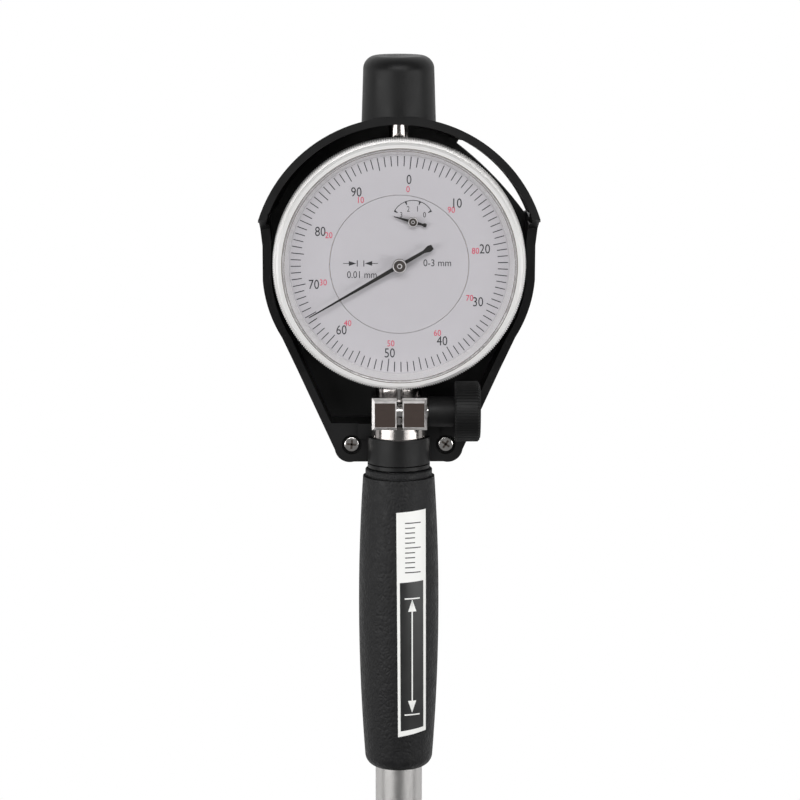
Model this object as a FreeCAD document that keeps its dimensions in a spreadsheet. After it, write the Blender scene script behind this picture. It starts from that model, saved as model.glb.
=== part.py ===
import FreeCAD, Part

import math
import os

import Sketcher
from FreeCAD import Vector

# Dial bore gauge, lying on its back with the dial up.
# X across the dial, +Y from the measuring head towards the top cap, +Z out of the dial.
# Every body is drawn about the tube axis and then lifted by axis_height on to the table plane.

doc = FreeCAD.newDocument("dial_bore_gauge")
sheet = doc.addObject("Spreadsheet::Sheet", "Sizes")

SIZES = (
    # general
    ("slide_gap", 0.03),
    ("fit_gap", 0.02),
    # indicator case and back
    ("case_back", 7.5),
    ("cover_gap", 0.35),
    ("case_wall", 1.6),
    ("ledge_width", 1.6),
    ("port_cover", 0.15),
    ("cover_thickness", 1.4),
    ("cover_step", 0.7),
    ("cover_screw_angle", 45.0),
    ("cover_screw_head", 0.95),
    ("cover_screw_shank", 0.5),
    ("cover_screw_head_height", 0.45),
    ("cover_screw_length", 3.5),
    # stem, barrel, spindle
    ("stem_radius", 4.0),
    ("stem_length", 11.8),
    ("spigot_wall", 0.37),
    ("spigot_reach", 0.2),
    ("barrel_radius", 2.35),
    ("barrel_length", 15.8),
    ("barrel_spigot_wall", 0.62),
    ("barrel_blind", 1.2),
    ("spindle_radius", 2.35),
    ("spindle_upper_radius", 1.45),
    ("spindle_shoulder", 2.7),
    ("spindle_headroom", 4.0),
    ("spindle_show", 1.0),
    ("contact_step", 0.15),
    ("contact_bore_extra", 0.3),
    ("contact_length", 6.0),
    ("contact_shank_radius", 1.1),
    ("contact_shank_length", 3.0),
    # rack and gear train
    ("rack_pitch", 0.625),
    ("rack_teeth_each_way", 7),
    ("rack_half_width", 0.6),
    ("arbor_x", 3.0),
    ("arbor_y", 7.09),
    ("arbor_radius", 0.6),
    ("pivot_radius", 0.5),
    ("rack_pinion_teeth", 16),
    ("wheel_teeth", 100),
    ("centre_pinion_teeth", 10),
    ("counter_drive_teeth", 40),
    ("counter_teeth", 36),
    ("counter_x", 3.06),
    ("counter_y", 9.8),
    ("takeup_angle", 45.5),
    ("wheel_gap", 0.5),
    ("counter_gap", 0.3),
    ("wheel_thickness", 0.5),
    ("counter_thickness", 0.4),
    ("base_plate_thickness", 1.0),
    ("base_plate_gap", 0.2),
    ("bridge_radius", 16.0),
    ("bridge_gap", 0.7),
    ("bridge_thickness", 0.8),
    ("pillar_radius", 1.0),
    ("pillar_inset", 2.5),
    ("pillar_angle", 19.9),
    ("plate_screw_head", 0.75),
    ("plate_screw_shank", 0.4),
    ("plate_screw_inset", 1.05),
    ("plate_screw_angle", 30.0),
    ("plate_screw_head_height", 0.4),
    ("plate_screw_length", 2.5),
    ("cock_back", 3.6),
    ("cock_thickness", 0.9),
    ("cock_left", 9.6),
    ("cock_right", 1.4),
    ("cock_half_length", 4.4),
    ("cock_foot_x", 8.0),
    ("cock_foot_spacing", 2.9),
    ("cock_foot_radius", 1.1),
    ("hairspring_height", 0.4),
    ("hairspring_gap", 0.12),
    ("hairspring_inner", 1.0),
    ("hairspring_pitch", 0.55),
    ("hairspring_strip", 0.14),
    ("hairspring_turns", 5),
    # dial, hands, bezel, crystal
    ("dial_thickness", 0.5),
    ("dial_gap", 0.4),
    ("centre_dial_share", 0.625),
    ("scale_inset", 1.0),
    ("dial_split", 0.1),
    ("dial_post_radius", 0.8),
    ("dial_post_inset", 1.55),
    ("small_hand_gap", 1.0),
    ("small_hub_height", 0.7),
    ("small_hand_hub_radius", 1.1),
    ("small_hand_length", 4.5),
    ("small_hand_tail", 3.2),
    ("small_hand_half_width", 0.32),
    ("small_hand_angle", 74.0),
    ("hand_thickness", 0.2),
    ("main_hand_gap", 0.5),
    ("main_hub_height", 1.2),
    ("main_hand_root_width", 0.92),
    ("main_hand_spade_width", 1.5),
    ("main_hand_boss", 1.35),
    ("hand_boss_share", 0.8),
    ("main_hand_hub_radius", 1.6),
    ("main_hand_length", 23.7),
    ("main_hand_tail", 8.6),
    ("main_hand_angle", 240.0),
    ("hand_collet_radius", 0.8),
    ("bezel_radius", 28.5),
    ("bezel_wall", 2.24),
    ("bezel_skirt", 2.9),
    ("bezel_band_lift", 0.6),
    ("bezel_step", 0.6),
    ("bezel_rim_width", 1.35),
    ("bezel_rim_height", 0.8),
    ("bezel_ledge_width", 0.3),
    ("bezel_ledge_depth", 0.6),
    ("bezel_lip", 0.2),
    ("crystal_lift", 0.4),
    ("crystal_seat_width", 0.25),
    ("case_front_gap", 0.2),
    ("bezel_edge", 0.4),
    ("crystal_thickness", 1.0),
    ("crystal_rise", 1.6),
    # guard
    ("rim_wall", 1.77),
    ("rim_gap", 3.27),
    ("rim_lift", 0.5),
    ("hood_narrowing", 1.96),
    ("hood_half_angle", 73.5),
    ("rim_end_y", 10.2),
    ("step_y", 7.7),
    ("step_z", 3.8),
    ("shoulder_width", 0.75),
    ("shoulder_length", 6.5),
    ("slope_inset", 2.5),
    ("low_front", 0.5),
    ("block_reach", 9.5),
    ("block_length", 9.0),
    ("side_gap", 2.6),
    ("clamp_split_z", 2.5),
    ("side_bend_y", 8.41),
    ("side_bend_radius", 30.0),
    ("block_half_width", 17.58),
    ("end_half_width", 13.5),
    ("corner_radius", 3.5),
    ("floor_thickness", 2.3),
    ("low_wall", 2.0),
    ("window_left_radius", 29.1),
    ("window_left_angle", 27.7),
    ("window_right_radius", 30.75),
    ("window_right_angle", 71.4),
    ("window_bow", 80.0),
    ("window_top", 1.8),
    ("cap_base_radius", 8.55),
    ("cap_shoulder_radius", 8.1),
    ("cap_shoulder", 3.1),
    ("cap_reach", 4.7),
    ("cap_rounding", 2.4),
    ("cap_wall", 2.2),
    ("cap_floor_inset", 0.14),
    ("clamp_screw_head_radius", 1.77),
    ("clamp_screw_head_height", 1.1),
    ("clamp_screw_recess_radius", 2.3),
    ("clamp_screw_recess_depth", 1.25),
    ("clamp_screw_shank", 1.0),
    ("clamp_screw_length", 6.5),
    ("clamp_screw_offset", 4.45),
    ("clamp_screw_inset", 5.0),
    ("boss_wall", 0.8),
    ("boss_inset", 2.9),
    ("boss_end_gap", 0.1),
    ("pad_offset", 0.4),
    ("pad_width", 3.4),
    ("pad_length", 3.5),
    ("pad_height", 0.9),
    ("sleeve_neck_wall", 1.6),
    ("sleeve_wall", 0.98),
    ("sleeve_gap", 0.8),
    ("sleeve_end_gap", 0.5),
    ("counterbore_inset", 4.0),
    # clamp sleeve and knob
    ("lug_half_width", 6.27),
    ("lug_rise", 1.05),
    ("lug_gap", 0.3),
    ("lug_front", 11.0),
    ("lug_bevel", 0.6),
    ("slit_width", 1.34),
    ("slit_past_lug", 0.2),
    ("clamp_axis_inset", 3.65),
    ("clamp_axis_z", 7.0),
    ("clamp_bolt_radius", 1.5),
    ("clamp_bolt_inset", 0.27),
    ("knob_hub_gap", 0.33),
    ("knob_hub_length", 6.0),
    ("knob_length", 5.85),
    ("knob_hub_radius", 3.5),
    ("knob_radius", 6.75),
    ("knob_bevel", 0.7),
    # neck, handle, tube
    ("tube_radius", 5.42),
    ("tube_wall", 1.22),
    ("tube_seat_gap", 0.3),
    ("collar_wall", 1.78),
    ("collar_length", 1.2),
    ("handle_gap", 0.1),
    ("handle_wall", 2.28),
    ("handle_ring_length", 1.3),
    ("handle_groove_depth", 0.4),
    ("handle_groove_length", 0.5),
    ("handle_shoulder", 0.95),
    ("handle_swell", 1.0),
    ("handle_taper", 1.4),
    ("handle_upper_length", 29.9),
    ("handle_lower_length", 36.0),
    ("handle_foot_length", 2.9),
    ("handle_end_step", 2.05),
    ("handle_end_rounding", 3.1),
    # rod and its bush
    ("rod_radius", 1.5),
    ("rod_bush_top", 60.0),
    ("rod_bush_length", 8.0),
    ("rod_gap", 0.02),
    # measuring head, about the measuring axis
    ("measure_y", 269.0),
    ("head_half_width", 7.5),
    ("head_half_depth", 8.0),
    ("head_corner", 1.5),
    ("head_top", 12.0),
    ("head_bottom", 10.0),
    ("head_neck_radius", 7.0),
    ("head_neck_length", 3.0),
    ("pocket_wall", 0.6),
    ("pocket_gap", 0.6),
    ("pocket_rise", 1.4),
    ("spigot_length", 10.0),
    ("pocket_half_depth", 1.0),
    ("plug_radius", 6.6),
    ("plug_thickness", 2.0),
    ("lever_arm", 5.0),
    ("lever_end_radius", 1.0),
    ("lever_arm_half_width", 0.6),
    ("lever_boss_radius", 1.6),
    ("lever_half_thickness", 0.8),
    ("pivot_pin_radius", 0.78),
    ("plunger_gap", 0.05),
    ("plunger_nose_radius", 0.7),
    ("plunger_lead", 0.4),
    ("plunger_radius", 2.2),
    ("plunger_neck_gap", 1.1),
    ("bush_wall", 1.27),
    ("bush_flange_gap", 0.2),
    ("bush_flange_length", 1.7),
    ("tip_neck_radius", 1.8),
    ("tip_neck_length", 1.6),
    ("tip_socket", 0.4),
    ("tip_show", 1.4),
    ("tip_radius", 1.2),
    ("anvil_radius", 2.48),
    ("anvil_inset", 1.0),
    ("anvil_extra", 0.6),
    ("anvil_body_length", 5.5),
    ("washer_radius", 4.5),
    ("washer_thickness", 0.5),
    ("lock_nut_radius", 5.0),
    ("lock_nut_length", 3.0),
    ("bridge_plate_thick", 2.0),
    ("bridge_travel_room", 2.7),
    ("skid_length", 4.7),
    ("guide_pin_length", 8.9),
    ("bridge_half_height", 4.5),
    ("bridge_hole_radius", 3.0),
    ("skid_radius", 1.5),
    ("skid_edge_gap", 1.1),
    ("guide_pin_radius", 1.45),
    ("guide_pin_offset", 5.6),
    ("guide_hole_inner", -4.0),
    ("spring_wire_radius", 0.22),
    ("spring_coil_radius", 1.1),
    ("spring_pitch", 1.0),
)

for row, (name, value) in enumerate(SIZES, start=1):
    sheet.set(f"A{row}", name)
    sheet.set(f"B{row}", str(value))
    sheet.setAlias(f"B{row}", name)
doc.recompute()


class Size:
    """A length that carries its number and the sheet formula behind it."""

    def __init__(self, number, formula):
        self.number = float(number)
        self.formula = formula

    def __add__(self, other):
        other = as_size(other)
        return Size(self.number + other.number, f"({self.formula} + {other.formula})")

    def __sub__(self, other):
        other = as_size(other)
        return Size(self.number - other.number, f"({self.formula} - {other.formula})")

    def __mul__(self, other):
        other = as_size(other)
        return Size(self.number * other.number, f"({self.formula} * {other.formula})")

    def __truediv__(self, other):
        other = as_size(other)
        return Size(self.number / other.number, f"({self.formula} / {other.formula})")

    def __neg__(self):
        return Size(-self.number, f"(0 - {self.formula})")

    def __radd__(self, other):
        return as_size(other) + self

    def __rsub__(self, other):
        return as_size(other) - self

    def __rmul__(self, other):
        return as_size(other) * self


def as_size(value):
    if isinstance(value, Size):
        return value
    return Size(value, f"({value})")


def root(value):
    return Size(math.sqrt(value.number), f"sqrt({value.formula})")


def sine(angle):
    return Size(math.sin(math.radians(angle.number)), f"sin({angle.formula})")


def cosine(angle):
    return Size(math.cos(math.radians(angle.number)), f"cos({angle.formula})")


def clockwise(radius, angle):
    """Point at a radius and an angle counted clockwise from +Y."""
    return radius * sine(as_size(angle)), radius * cosine(as_size(angle))


class SheetValues:
    """Reads every named size back from the sheet."""

    def __init__(self):
        for name, _ in SIZES:
            setattr(self, name, Size(sheet.get(name), f"Sizes.{name}"))


s = SheetValues()
parts = []

# sizes that follow from the others

# dial and bezel, outwards from the case
s.case_radius = s.bezel_radius - s.bezel_wall - 2 * s.slide_gap
s.cover_radius = s.case_radius - s.cover_step
s.base_plate_radius = s.case_radius - s.case_wall - s.base_plate_gap
s.plate_screw_circle = s.case_radius - s.case_wall - s.plate_screw_inset
s.pillar_x = (s.bridge_radius - s.pillar_inset) * cosine(s.pillar_angle)
s.pillar_y = (s.bridge_radius - s.pillar_inset) * sine(s.pillar_angle)
s.scale_radius = s.case_radius - s.scale_inset
s.centre_dial_radius = s.scale_radius * s.centre_dial_share
s.dial_post_circle = s.centre_dial_radius - s.dial_post_inset
s.bezel_front_radius = s.bezel_radius - s.bezel_step
s.crystal_radius = s.bezel_front_radius - s.bezel_rim_width
s.bezel_cone_radius = s.crystal_radius - s.crystal_seat_width
s.bezel_ledge_radius = s.scale_radius - s.bezel_ledge_width
s.bezel_lip_radius = s.scale_radius - s.bezel_lip
s.rim_radius = s.bezel_radius + s.rim_gap + s.rim_wall
s.guard_half_width = s.bezel_radius + s.side_gap

# levels, forwards from the ledge in the case
s.axis_height = (s.floor_thickness + s.cover_gap + s.cover_screw_head_height
                 + s.cover_thickness + s.case_back)
s.port_radius = s.spindle_radius + s.slide_gap + s.spigot_wall
s.barrel_port_radius = s.spindle_upper_radius + s.slide_gap + s.barrel_spigot_wall
s.ledge_level = s.port_radius + s.port_cover
s.wheel_level = s.ledge_level + s.base_plate_thickness + s.wheel_gap
s.hairspring_level = s.wheel_level + s.wheel_thickness + s.hairspring_gap
s.bridge_level = s.wheel_level + s.wheel_thickness + s.bridge_gap
s.counter_level = s.bridge_level + s.bridge_thickness + s.counter_gap
s.dial_level = s.counter_level + s.counter_thickness + s.dial_gap
s.dial_top = s.dial_level + s.dial_thickness
s.bezel_ledge_back = s.dial_level - s.bezel_ledge_depth
s.case_front = s.bezel_ledge_back - s.case_front_gap
s.bezel_back = s.dial_level - s.bezel_skirt
s.bezel_band_front = s.dial_top + s.bezel_band_lift
s.small_hand_level = s.dial_top + s.small_hand_gap
s.small_hand_hub_top = s.small_hand_level + s.small_hub_height
s.main_hand_level = s.small_hand_hub_top + s.main_hand_gap
s.main_hand_hub_top = s.main_hand_level + s.main_hub_height
s.crystal_seat = s.main_hand_level + s.crystal_lift
s.bezel_front = s.crystal_seat + s.bezel_rim_height
s.rim_front = s.dial_top + s.rim_lift

# stations along the tube axis, away from the dial
s.stem_end = s.case_radius + s.stem_length
s.stem_spigot_inner = s.case_radius - s.case_wall - s.ledge_width - s.spigot_reach
s.barrel_top = s.case_radius + s.barrel_length
s.spindle_upper_start = s.arbor_y + s.rack_pitch * (s.rack_teeth_each_way + 0.5) + s.spindle_shoulder
s.spindle_top = s.barrel_top - s.spindle_headroom
s.spindle_bottom = s.stem_end + s.spindle_show
s.contact_radius = s.spindle_radius - s.contact_step
s.slope_end_y = s.bezel_radius - s.slope_inset
s.block_y = s.bezel_radius + s.block_reach
s.guard_end = s.block_y + s.block_length
s.cap_top = s.barrel_top + s.cap_reach
s.cap_shoulder_y = s.cap_top - s.cap_shoulder
s.cap_floor_y = s.rim_radius - s.cap_floor_inset
s.sleeve_neck_radius = s.stem_radius + s.sleeve_neck_wall
s.sleeve_radius = s.tube_radius + s.sleeve_wall
s.sleeve_top = s.bezel_radius + s.sleeve_gap
s.sleeve_end = s.guard_end - s.sleeve_end_gap
s.sleeve_counterbore = s.block_y + s.counterbore_inset
s.boss_radius = s.sleeve_radius + s.boss_wall
s.boss_start = s.block_y + s.boss_inset
s.boss_end = s.guard_end - s.boss_end_gap
s.pad_inner_x = s.sleeve_radius - s.pad_offset
s.pad_outer_x = s.pad_inner_x + s.pad_width
s.pad_end = s.block_y + s.pad_length
s.clamp_screw_x = s.sleeve_radius + s.clamp_screw_offset
s.clamp_screw_y = s.block_y + s.clamp_screw_inset
s.lug_top = s.sleeve_top + s.lug_rise
s.lug_end = s.block_y - s.lug_gap
s.slit_end = s.lug_end + s.slit_past_lug
s.clamp_axis_y = s.lug_top + s.clamp_axis_inset
s.clamp_bolt_end = s.lug_half_width - s.clamp_bolt_inset
s.knob_hub_start = s.lug_half_width + s.knob_hub_gap
s.knob_start = s.knob_hub_start + s.knob_hub_length
s.knob_end = s.knob_start + s.knob_length

# tube and handle
s.tube_bore_radius = s.tube_radius - s.tube_wall
s.tube_top = s.sleeve_counterbore + s.tube_seat_gap
s.collar_radius = s.tube_radius + s.collar_wall
s.handle_start = s.guard_end + s.collar_length + s.handle_gap
s.handle_ring_end = s.handle_start + s.handle_ring_length
s.handle_groove_end = s.handle_ring_end + s.handle_groove_length
s.handle_middle_y = s.handle_groove_end + s.handle_upper_length
s.handle_foot_y = s.handle_middle_y + s.handle_lower_length
s.handle_end = s.handle_foot_y + s.handle_foot_length
s.handle_ring_radius = s.tube_radius + s.handle_wall
s.handle_groove_radius = s.handle_ring_radius - s.handle_groove_depth
s.handle_shoulder_radius = s.handle_groove_radius + s.handle_shoulder
s.handle_middle_radius = s.handle_shoulder_radius + s.handle_swell
s.handle_foot_radius = s.handle_middle_radius - s.handle_taper
s.handle_end_radius = s.handle_foot_radius - s.handle_end_step

# measuring head, outwards from the lever
s.pocket_left = s.lever_end_radius + s.pocket_wall
s.pocket_right = s.head_half_width - s.pocket_gap
s.pocket_top = s.lever_arm + s.lever_end_radius + s.pocket_rise
s.bush_start = s.lever_arm + s.lever_end_radius
s.bush_radius = s.plunger_radius + s.slide_gap + s.bush_wall
s.bush_flange_radius = s.guide_pin_offset - s.guide_pin_radius - s.bush_flange_gap
s.plunger_shoulder = s.head_half_width + s.plunger_lead
s.bush_end = s.head_half_width + s.bush_flange_length
s.bridge_plate_start = s.bush_end + s.bridge_travel_room
s.plunger_body_end = s.bridge_plate_start + s.bridge_plate_thick + s.plunger_neck_gap
s.tip_root = s.plunger_body_end + s.tip_socket
s.tip_neck_end = s.plunger_body_end + s.tip_neck_length
s.tip_reach = s.tip_neck_end + s.tip_show
s.skid_reach = s.bridge_plate_start + s.skid_length
s.skid_offset = s.axis_height - s.skid_radius - s.skid_edge_gap
s.guide_pin_inner = s.bridge_plate_start - s.guide_pin_length
s.anvil_start = s.pocket_left + s.anvil_inset
s.anvil_body_end = s.head_half_width + s.anvil_body_length
s.anvil_reach = s.tip_reach + s.anvil_extra



def bind(feature, target, value):
    feature.setExpression(target, as_size(value).formula)


def place(feature, x=0, y=0, z=None):
    """Put a finished sub-part in the shared frame."""
    lift = s.axis_height if z is None else s.axis_height + z
    for letter, value in (("x", x), ("y", y), ("z", lift)):
        if as_size(value).number != 0.0:
            bind(feature, f".Placement.Base.{letter}", value)


def new_body(label, x=0, y=0, z=None):
    body = doc.addObject("PartDesign::Body", label)
    body.Label = label
    place(body, x, y, z)
    parts.append(body)
    return body


def new_feature(label, shape, x=0, y=0, z=None):
    feature = doc.addObject("Part::Feature", label)
    feature.Label = label
    feature.Shape = shape
    place(feature, x, y, z)
    parts.append(feature)
    return feature


def origin_part(body, role):
    return next(item for item in body.Origin.OriginFeatures if item.Role == role)


def short_arc(start, end, radius):
    """Short arc between two points; a positive radius bulges to the right of travel."""
    chord = end - start
    half = chord.Length / 2
    side = Vector(-chord.y, chord.x, 0).normalize() * math.copysign(1.0, radius)
    centre = (start + end) * 0.5 + side * math.sqrt(radius * radius - half * half)
    first, last = (start, end) if radius > 0 else (end, start)
    turn_from = math.atan2(first.y - centre.y, first.x - centre.x)
    turn_to = math.atan2(last.y - centre.y, last.x - centre.x)
    circle = Part.Circle(centre, Vector(0, 0, 1), abs(radius))
    return Part.ArcOfCircle(circle, turn_from, turn_to)


def add_circle(sketch, x, y, radius):
    x, y, radius = as_size(x), as_size(y), as_size(radius)
    centre = Vector(x.number, y.number, 0)
    index = sketch.addGeometry(Part.Circle(centre, Vector(0, 0, 1), radius.number), False)
    for kind, value in (("DistanceX", x), ("DistanceY", y)):
        row = sketch.addConstraint(Sketcher.Constraint(kind, -1, 1, index, 3, value.number))
        bind(sketch, f"Constraints[{row}]", value)
    row = sketch.addConstraint(Sketcher.Constraint("Radius", index, radius.number))
    bind(sketch, f"Constraints[{row}]", radius)


def add_outline(sketch, corners):
    """Closed outline; a corner with a third value is reached along an arc of that radius."""
    points = [Vector(as_size(c[0]).number, as_size(c[1]).number, 0) for c in corners]
    first = sketch.GeometryCount
    count = len(corners)
    for index, corner in enumerate(corners):
        target = (index + 1) % count
        start, end = points[index], points[target]
        if len(corners[target]) == 3:
            radius = as_size(corners[target][2])
            edge = short_arc(start, end, radius.number)
        else:
            edge = Part.LineSegment(start, end)
        sketch.addGeometry(edge, False)
    starts = []
    for index in range(count):
        edge = sketch.Geometry[first + index]
        forward = edge.StartPoint.distanceToPoint(points[index]) < 1e-6
        starts.append((1, 2) if forward else (2, 1))
    for index in range(count):
        target = (index + 1) % count
        sketch.addConstraint(Sketcher.Constraint(
            "Coincident", first + index, starts[index][1], first + target, starts[target][0]))
    for index, corner in enumerate(corners):
        for kind, value in (("DistanceX", as_size(corner[0])), ("DistanceY", as_size(corner[1]))):
            row = sketch.addConstraint(Sketcher.Constraint(
                kind, -1, 1, first + index, starts[index][0], value.number))
            bind(sketch, f"Constraints[{row}]", value)
        if len(corner) == 3:
            radius = as_size(corner[2])
            radius = radius if radius.number > 0 else -radius
            edge = first + (index - 1) % count
            row = sketch.addConstraint(Sketcher.Constraint("Radius", edge, radius.number))
            bind(sketch, f"Constraints[{row}]", radius)


def draw(body, plane, *loops, level=0):
    """Sketch on a base plane of the body: lists are outlines, triples are circles."""
    sketch = body.newObject("Sketcher::SketchObject", f"{body.Name}_sketch")
    sketch.AttachmentSupport = (origin_part(body, plane), [""])
    sketch.MapMode = "FlatFace"
    if as_size(level).number != 0.0:
        bind(sketch, ".AttachmentOffset.Base.z", level)
    for loop in loops:
        if isinstance(loop, list):
            add_outline(sketch, loop)
        else:
            add_circle(sketch, *loop)
    return sketch


def pad(body, sketch, length):
    feature = body.newObject("PartDesign::Pad", f"{body.Name}_pad")
    feature.Profile = sketch
    bind(feature, "Length", length)
    return feature


def cut(body, sketch, length=None):
    """Pocket along the sketch normal, or right through both ways."""
    feature = body.newObject("PartDesign::Pocket", f"{body.Name}_cut")
    feature.Profile = sketch
    if length is None:
        feature.Type = 1
        feature.Midplane = True
    else:
        feature.Reversed = True
        bind(feature, "Length", length)
    return feature


def spin(body, sketch, axis="V_Axis", angle=None, kind="Revolution"):
    """Revolve or groove about a sketch axis, all round or through a sector centred on the sketch."""
    feature = body.newObject(f"PartDesign::{kind}", f"{body.Name}_{kind.lower()}")
    feature.Profile = sketch
    feature.ReferenceAxis = (sketch, [axis])
    if angle is not None:
        feature.Midplane = True
        bind(feature, "Angle", angle)
    return feature


def groove(body, sketch, axis="V_Axis", angle=None):
    return spin(body, sketch, axis, angle, kind="Groove")


def repeat_round(body, features, count, axis="Z_Axis"):
    """Copy features in equal steps round a body axis."""
    pattern = body.newObject("PartDesign::PolarPattern", f"{body.Name}_pattern")
    pattern.Originals = features
    pattern.Axis = (origin_part(body, axis), [""])
    pattern.Angle = 360
    pattern.Occurrences = count
    body.Tip = pattern
    return pattern


def bevel(body, size, wanted, kind="Chamfer"):
    """Chamfer or fillet the edges that pass the test."""
    doc.recompute()
    base = body.Tip
    names = [f"Edge{i}" for i, edge in enumerate(base.Shape.Edges, start=1) if wanted(edge)]
    feature = body.newObject(f"PartDesign::{kind}", f"{body.Name}_{kind.lower()}")
    feature.Base = (base, names)
    bind(feature, "Size" if kind == "Chamfer" else "Radius", size)
    return feature


def turned(label, plane, axis, outline, **where):
    """A sub-part that is one revolved outline."""
    body = new_body(label, **where)
    spin(body, draw(body, plane, outline), axis)
    return body


def disc(label, radius, holes, level, thickness, **where):
    """A round plate with round holes, standing from a level."""
    body = new_body(label, **where)
    loops = [(0, 0, radius)] + holes
    pad(body, draw(body, "XY_Plane", *loops, level=level), thickness)
    return body


def mirrored(points):
    """Add the left half of an outline whose right half runs from top to bottom."""
    left = []
    for index in range(len(points) - 1, -1, -1):
        x, y = points[index][0], points[index][1]
        arc = points[index + 1][2:] if index + 1 < len(points) else ()
        left.append((-x, y) + tuple(arc))
    return points + left


# ---------------------------------------------------------------- guard

hood_back_radius = s.rim_radius - s.hood_narrowing
guard_depth = s.axis_height
floor_top = s.floor_thickness - guard_depth
draft = s.hood_narrowing / (s.rim_front + guard_depth)


def hood_inner(z):
    return s.rim_radius - s.rim_wall - (s.rim_front - z) * draft


def slanted_x(y, inset=0.0):
    """Half width of the guard on its slanted side at a distance below the dial centre."""
    slope = (s.guard_half_width - s.block_half_width) / (s.block_y - s.side_bend_y)
    return s.block_half_width + (s.block_y - y) * slope - inset


def guard_outline(top, bottom, inset=0.0):
    """Right half of the lower guard outline, from top to bottom."""
    bend = s.side_bend_y
    return [
        (s.guard_half_width + s.shoulder_width - inset, top),
        (s.guard_half_width - inset, top - s.shoulder_length),
        (s.guard_half_width - inset, -bend + 4.0),
        (slanted_x(bend + 9.5, inset), -bend - 9.5, -s.side_bend_radius),
        (slanted_x(bottom, inset), -bottom),
    ]


def foot_outline(top):
    """Right half of the block at the foot of the guard, with its rounded corner."""
    corner = s.corner_radius
    return [
        (slanted_x(top), -top),
        (slanted_x(s.guard_end - 0.8 * corner), -s.guard_end + 0.8 * corner),
        (s.end_half_width - 0.9 * corner, -s.guard_end, -corner),
    ]


def make_guard():
    body = new_body("guard_shell")
    hood = draw(body, "YZ_Plane", [
        (0, -guard_depth), (hood_back_radius, -guard_depth),
        (s.rim_radius, s.rim_front), (0, s.rim_front)])
    spin(body, hood, angle=2 * s.hood_half_angle)
    outline = guard_outline(s.rim_end_y, s.block_y) + foot_outline(s.block_y)[1:]
    pad(body, draw(body, "XY_Plane", mirrored(outline), level=-guard_depth),
        guard_depth + s.rim_front)
    # the shoulders blend into the tapered outside of the hood
    outside = draw(body, "YZ_Plane", [
        (hood_back_radius - draft, -guard_depth - 1.0), (s.rim_radius + 4.0, -guard_depth - 1.0),
        (s.rim_radius + 4.0, s.rim_front + 1.0), (s.rim_radius + draft, s.rim_front + 1.0)])
    groove(body, outside, angle=as_size(180))
    cap_root = s.bezel_radius + 0.5
    cap = draw(body, "XY_Plane", [
        (0, cap_root), (s.cap_base_radius, cap_root), (s.cap_shoulder_radius, s.cap_shoulder_y),
        (s.cap_shoulder_radius - s.cap_rounding, s.cap_top, 1.3 * s.cap_rounding), (0, s.cap_top)])
    spin(body, cap)
    # the inside of the hood, following its taper
    room = draw(body, "YZ_Plane", [
        (0, floor_top), (hood_inner(floor_top), floor_top),
        (hood_inner(s.rim_front + 2.0), s.rim_front + 2.0), (0, s.rim_front + 2.0)])
    groove(body, room, angle=2 * s.hood_half_angle)
    lower_room = mirrored(guard_outline(s.rim_end_y + 1.4, s.block_y, s.low_wall))
    cut(body, draw(body, "XY_Plane", lower_room, level=floor_top), guard_depth + s.rim_front)
    # everything in front of the stepped and sloping front edge
    front = draw(body, "YZ_Plane", [
        (s.rim_end_y + 0.8, s.rim_front + 1.5), (s.rim_end_y, s.rim_front), (s.step_y, s.step_z),
        (-s.slope_end_y, -s.low_front), (-s.block_y, -s.low_front),
        (-s.block_y, -s.clamp_split_z), (-s.guard_end - 3.0, -s.clamp_split_z),
        (-s.guard_end - 3.0, s.rim_front + 1.5)])
    cut(body, front)
    # half-round seat for the clamp sleeve
    seat = draw(body, "XY_Plane", [
        (0, -s.guard_end - 1.0), (s.sleeve_radius + s.fit_gap, -s.guard_end - 1.0),
        (s.sleeve_radius + s.fit_gap, -s.block_y + 1.0), (0, -s.block_y + 1.0)])
    groove(body, seat)
    # the finger window on the upper right, under a bridging band
    reach = s.rim_radius + 4.0
    left = clockwise(s.window_left_radius, s.window_left_angle)
    right = clockwise(s.window_right_radius, s.window_right_angle)
    window = draw(body, "XY_Plane", [
        clockwise(reach, s.window_left_angle), clockwise(reach, s.window_right_angle),
        right, left + (s.window_bow,)], level=-guard_depth - 1.0)
    cut(body, window, guard_depth + 1.0 + s.window_top)
    # hollow cap with the hole that lets the barrel in
    barrel_hole = s.barrel_radius + 0.35
    hollow = draw(body, "XY_Plane", [
        (0, cap_root - 1.0), (barrel_hole, cap_root - 1.0), (barrel_hole, s.cap_floor_y),
        (s.cap_shoulder_radius - s.cap_wall, s.cap_floor_y),
        (s.cap_shoulder_radius - s.cap_wall, s.cap_top - s.cap_wall), (0, s.cap_top - s.cap_wall)])
    groove(body, hollow)
    holes = draw(body, "XY_Plane",
                 (s.clamp_screw_x, -s.clamp_screw_y, s.clamp_screw_shank + s.fit_gap),
                 (-s.clamp_screw_x, -s.clamp_screw_y, s.clamp_screw_shank + s.fit_gap),
                 level=-s.clamp_split_z - s.clamp_screw_length)
    cut(body, holes, s.clamp_screw_length + 1.0)
    return body


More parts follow.
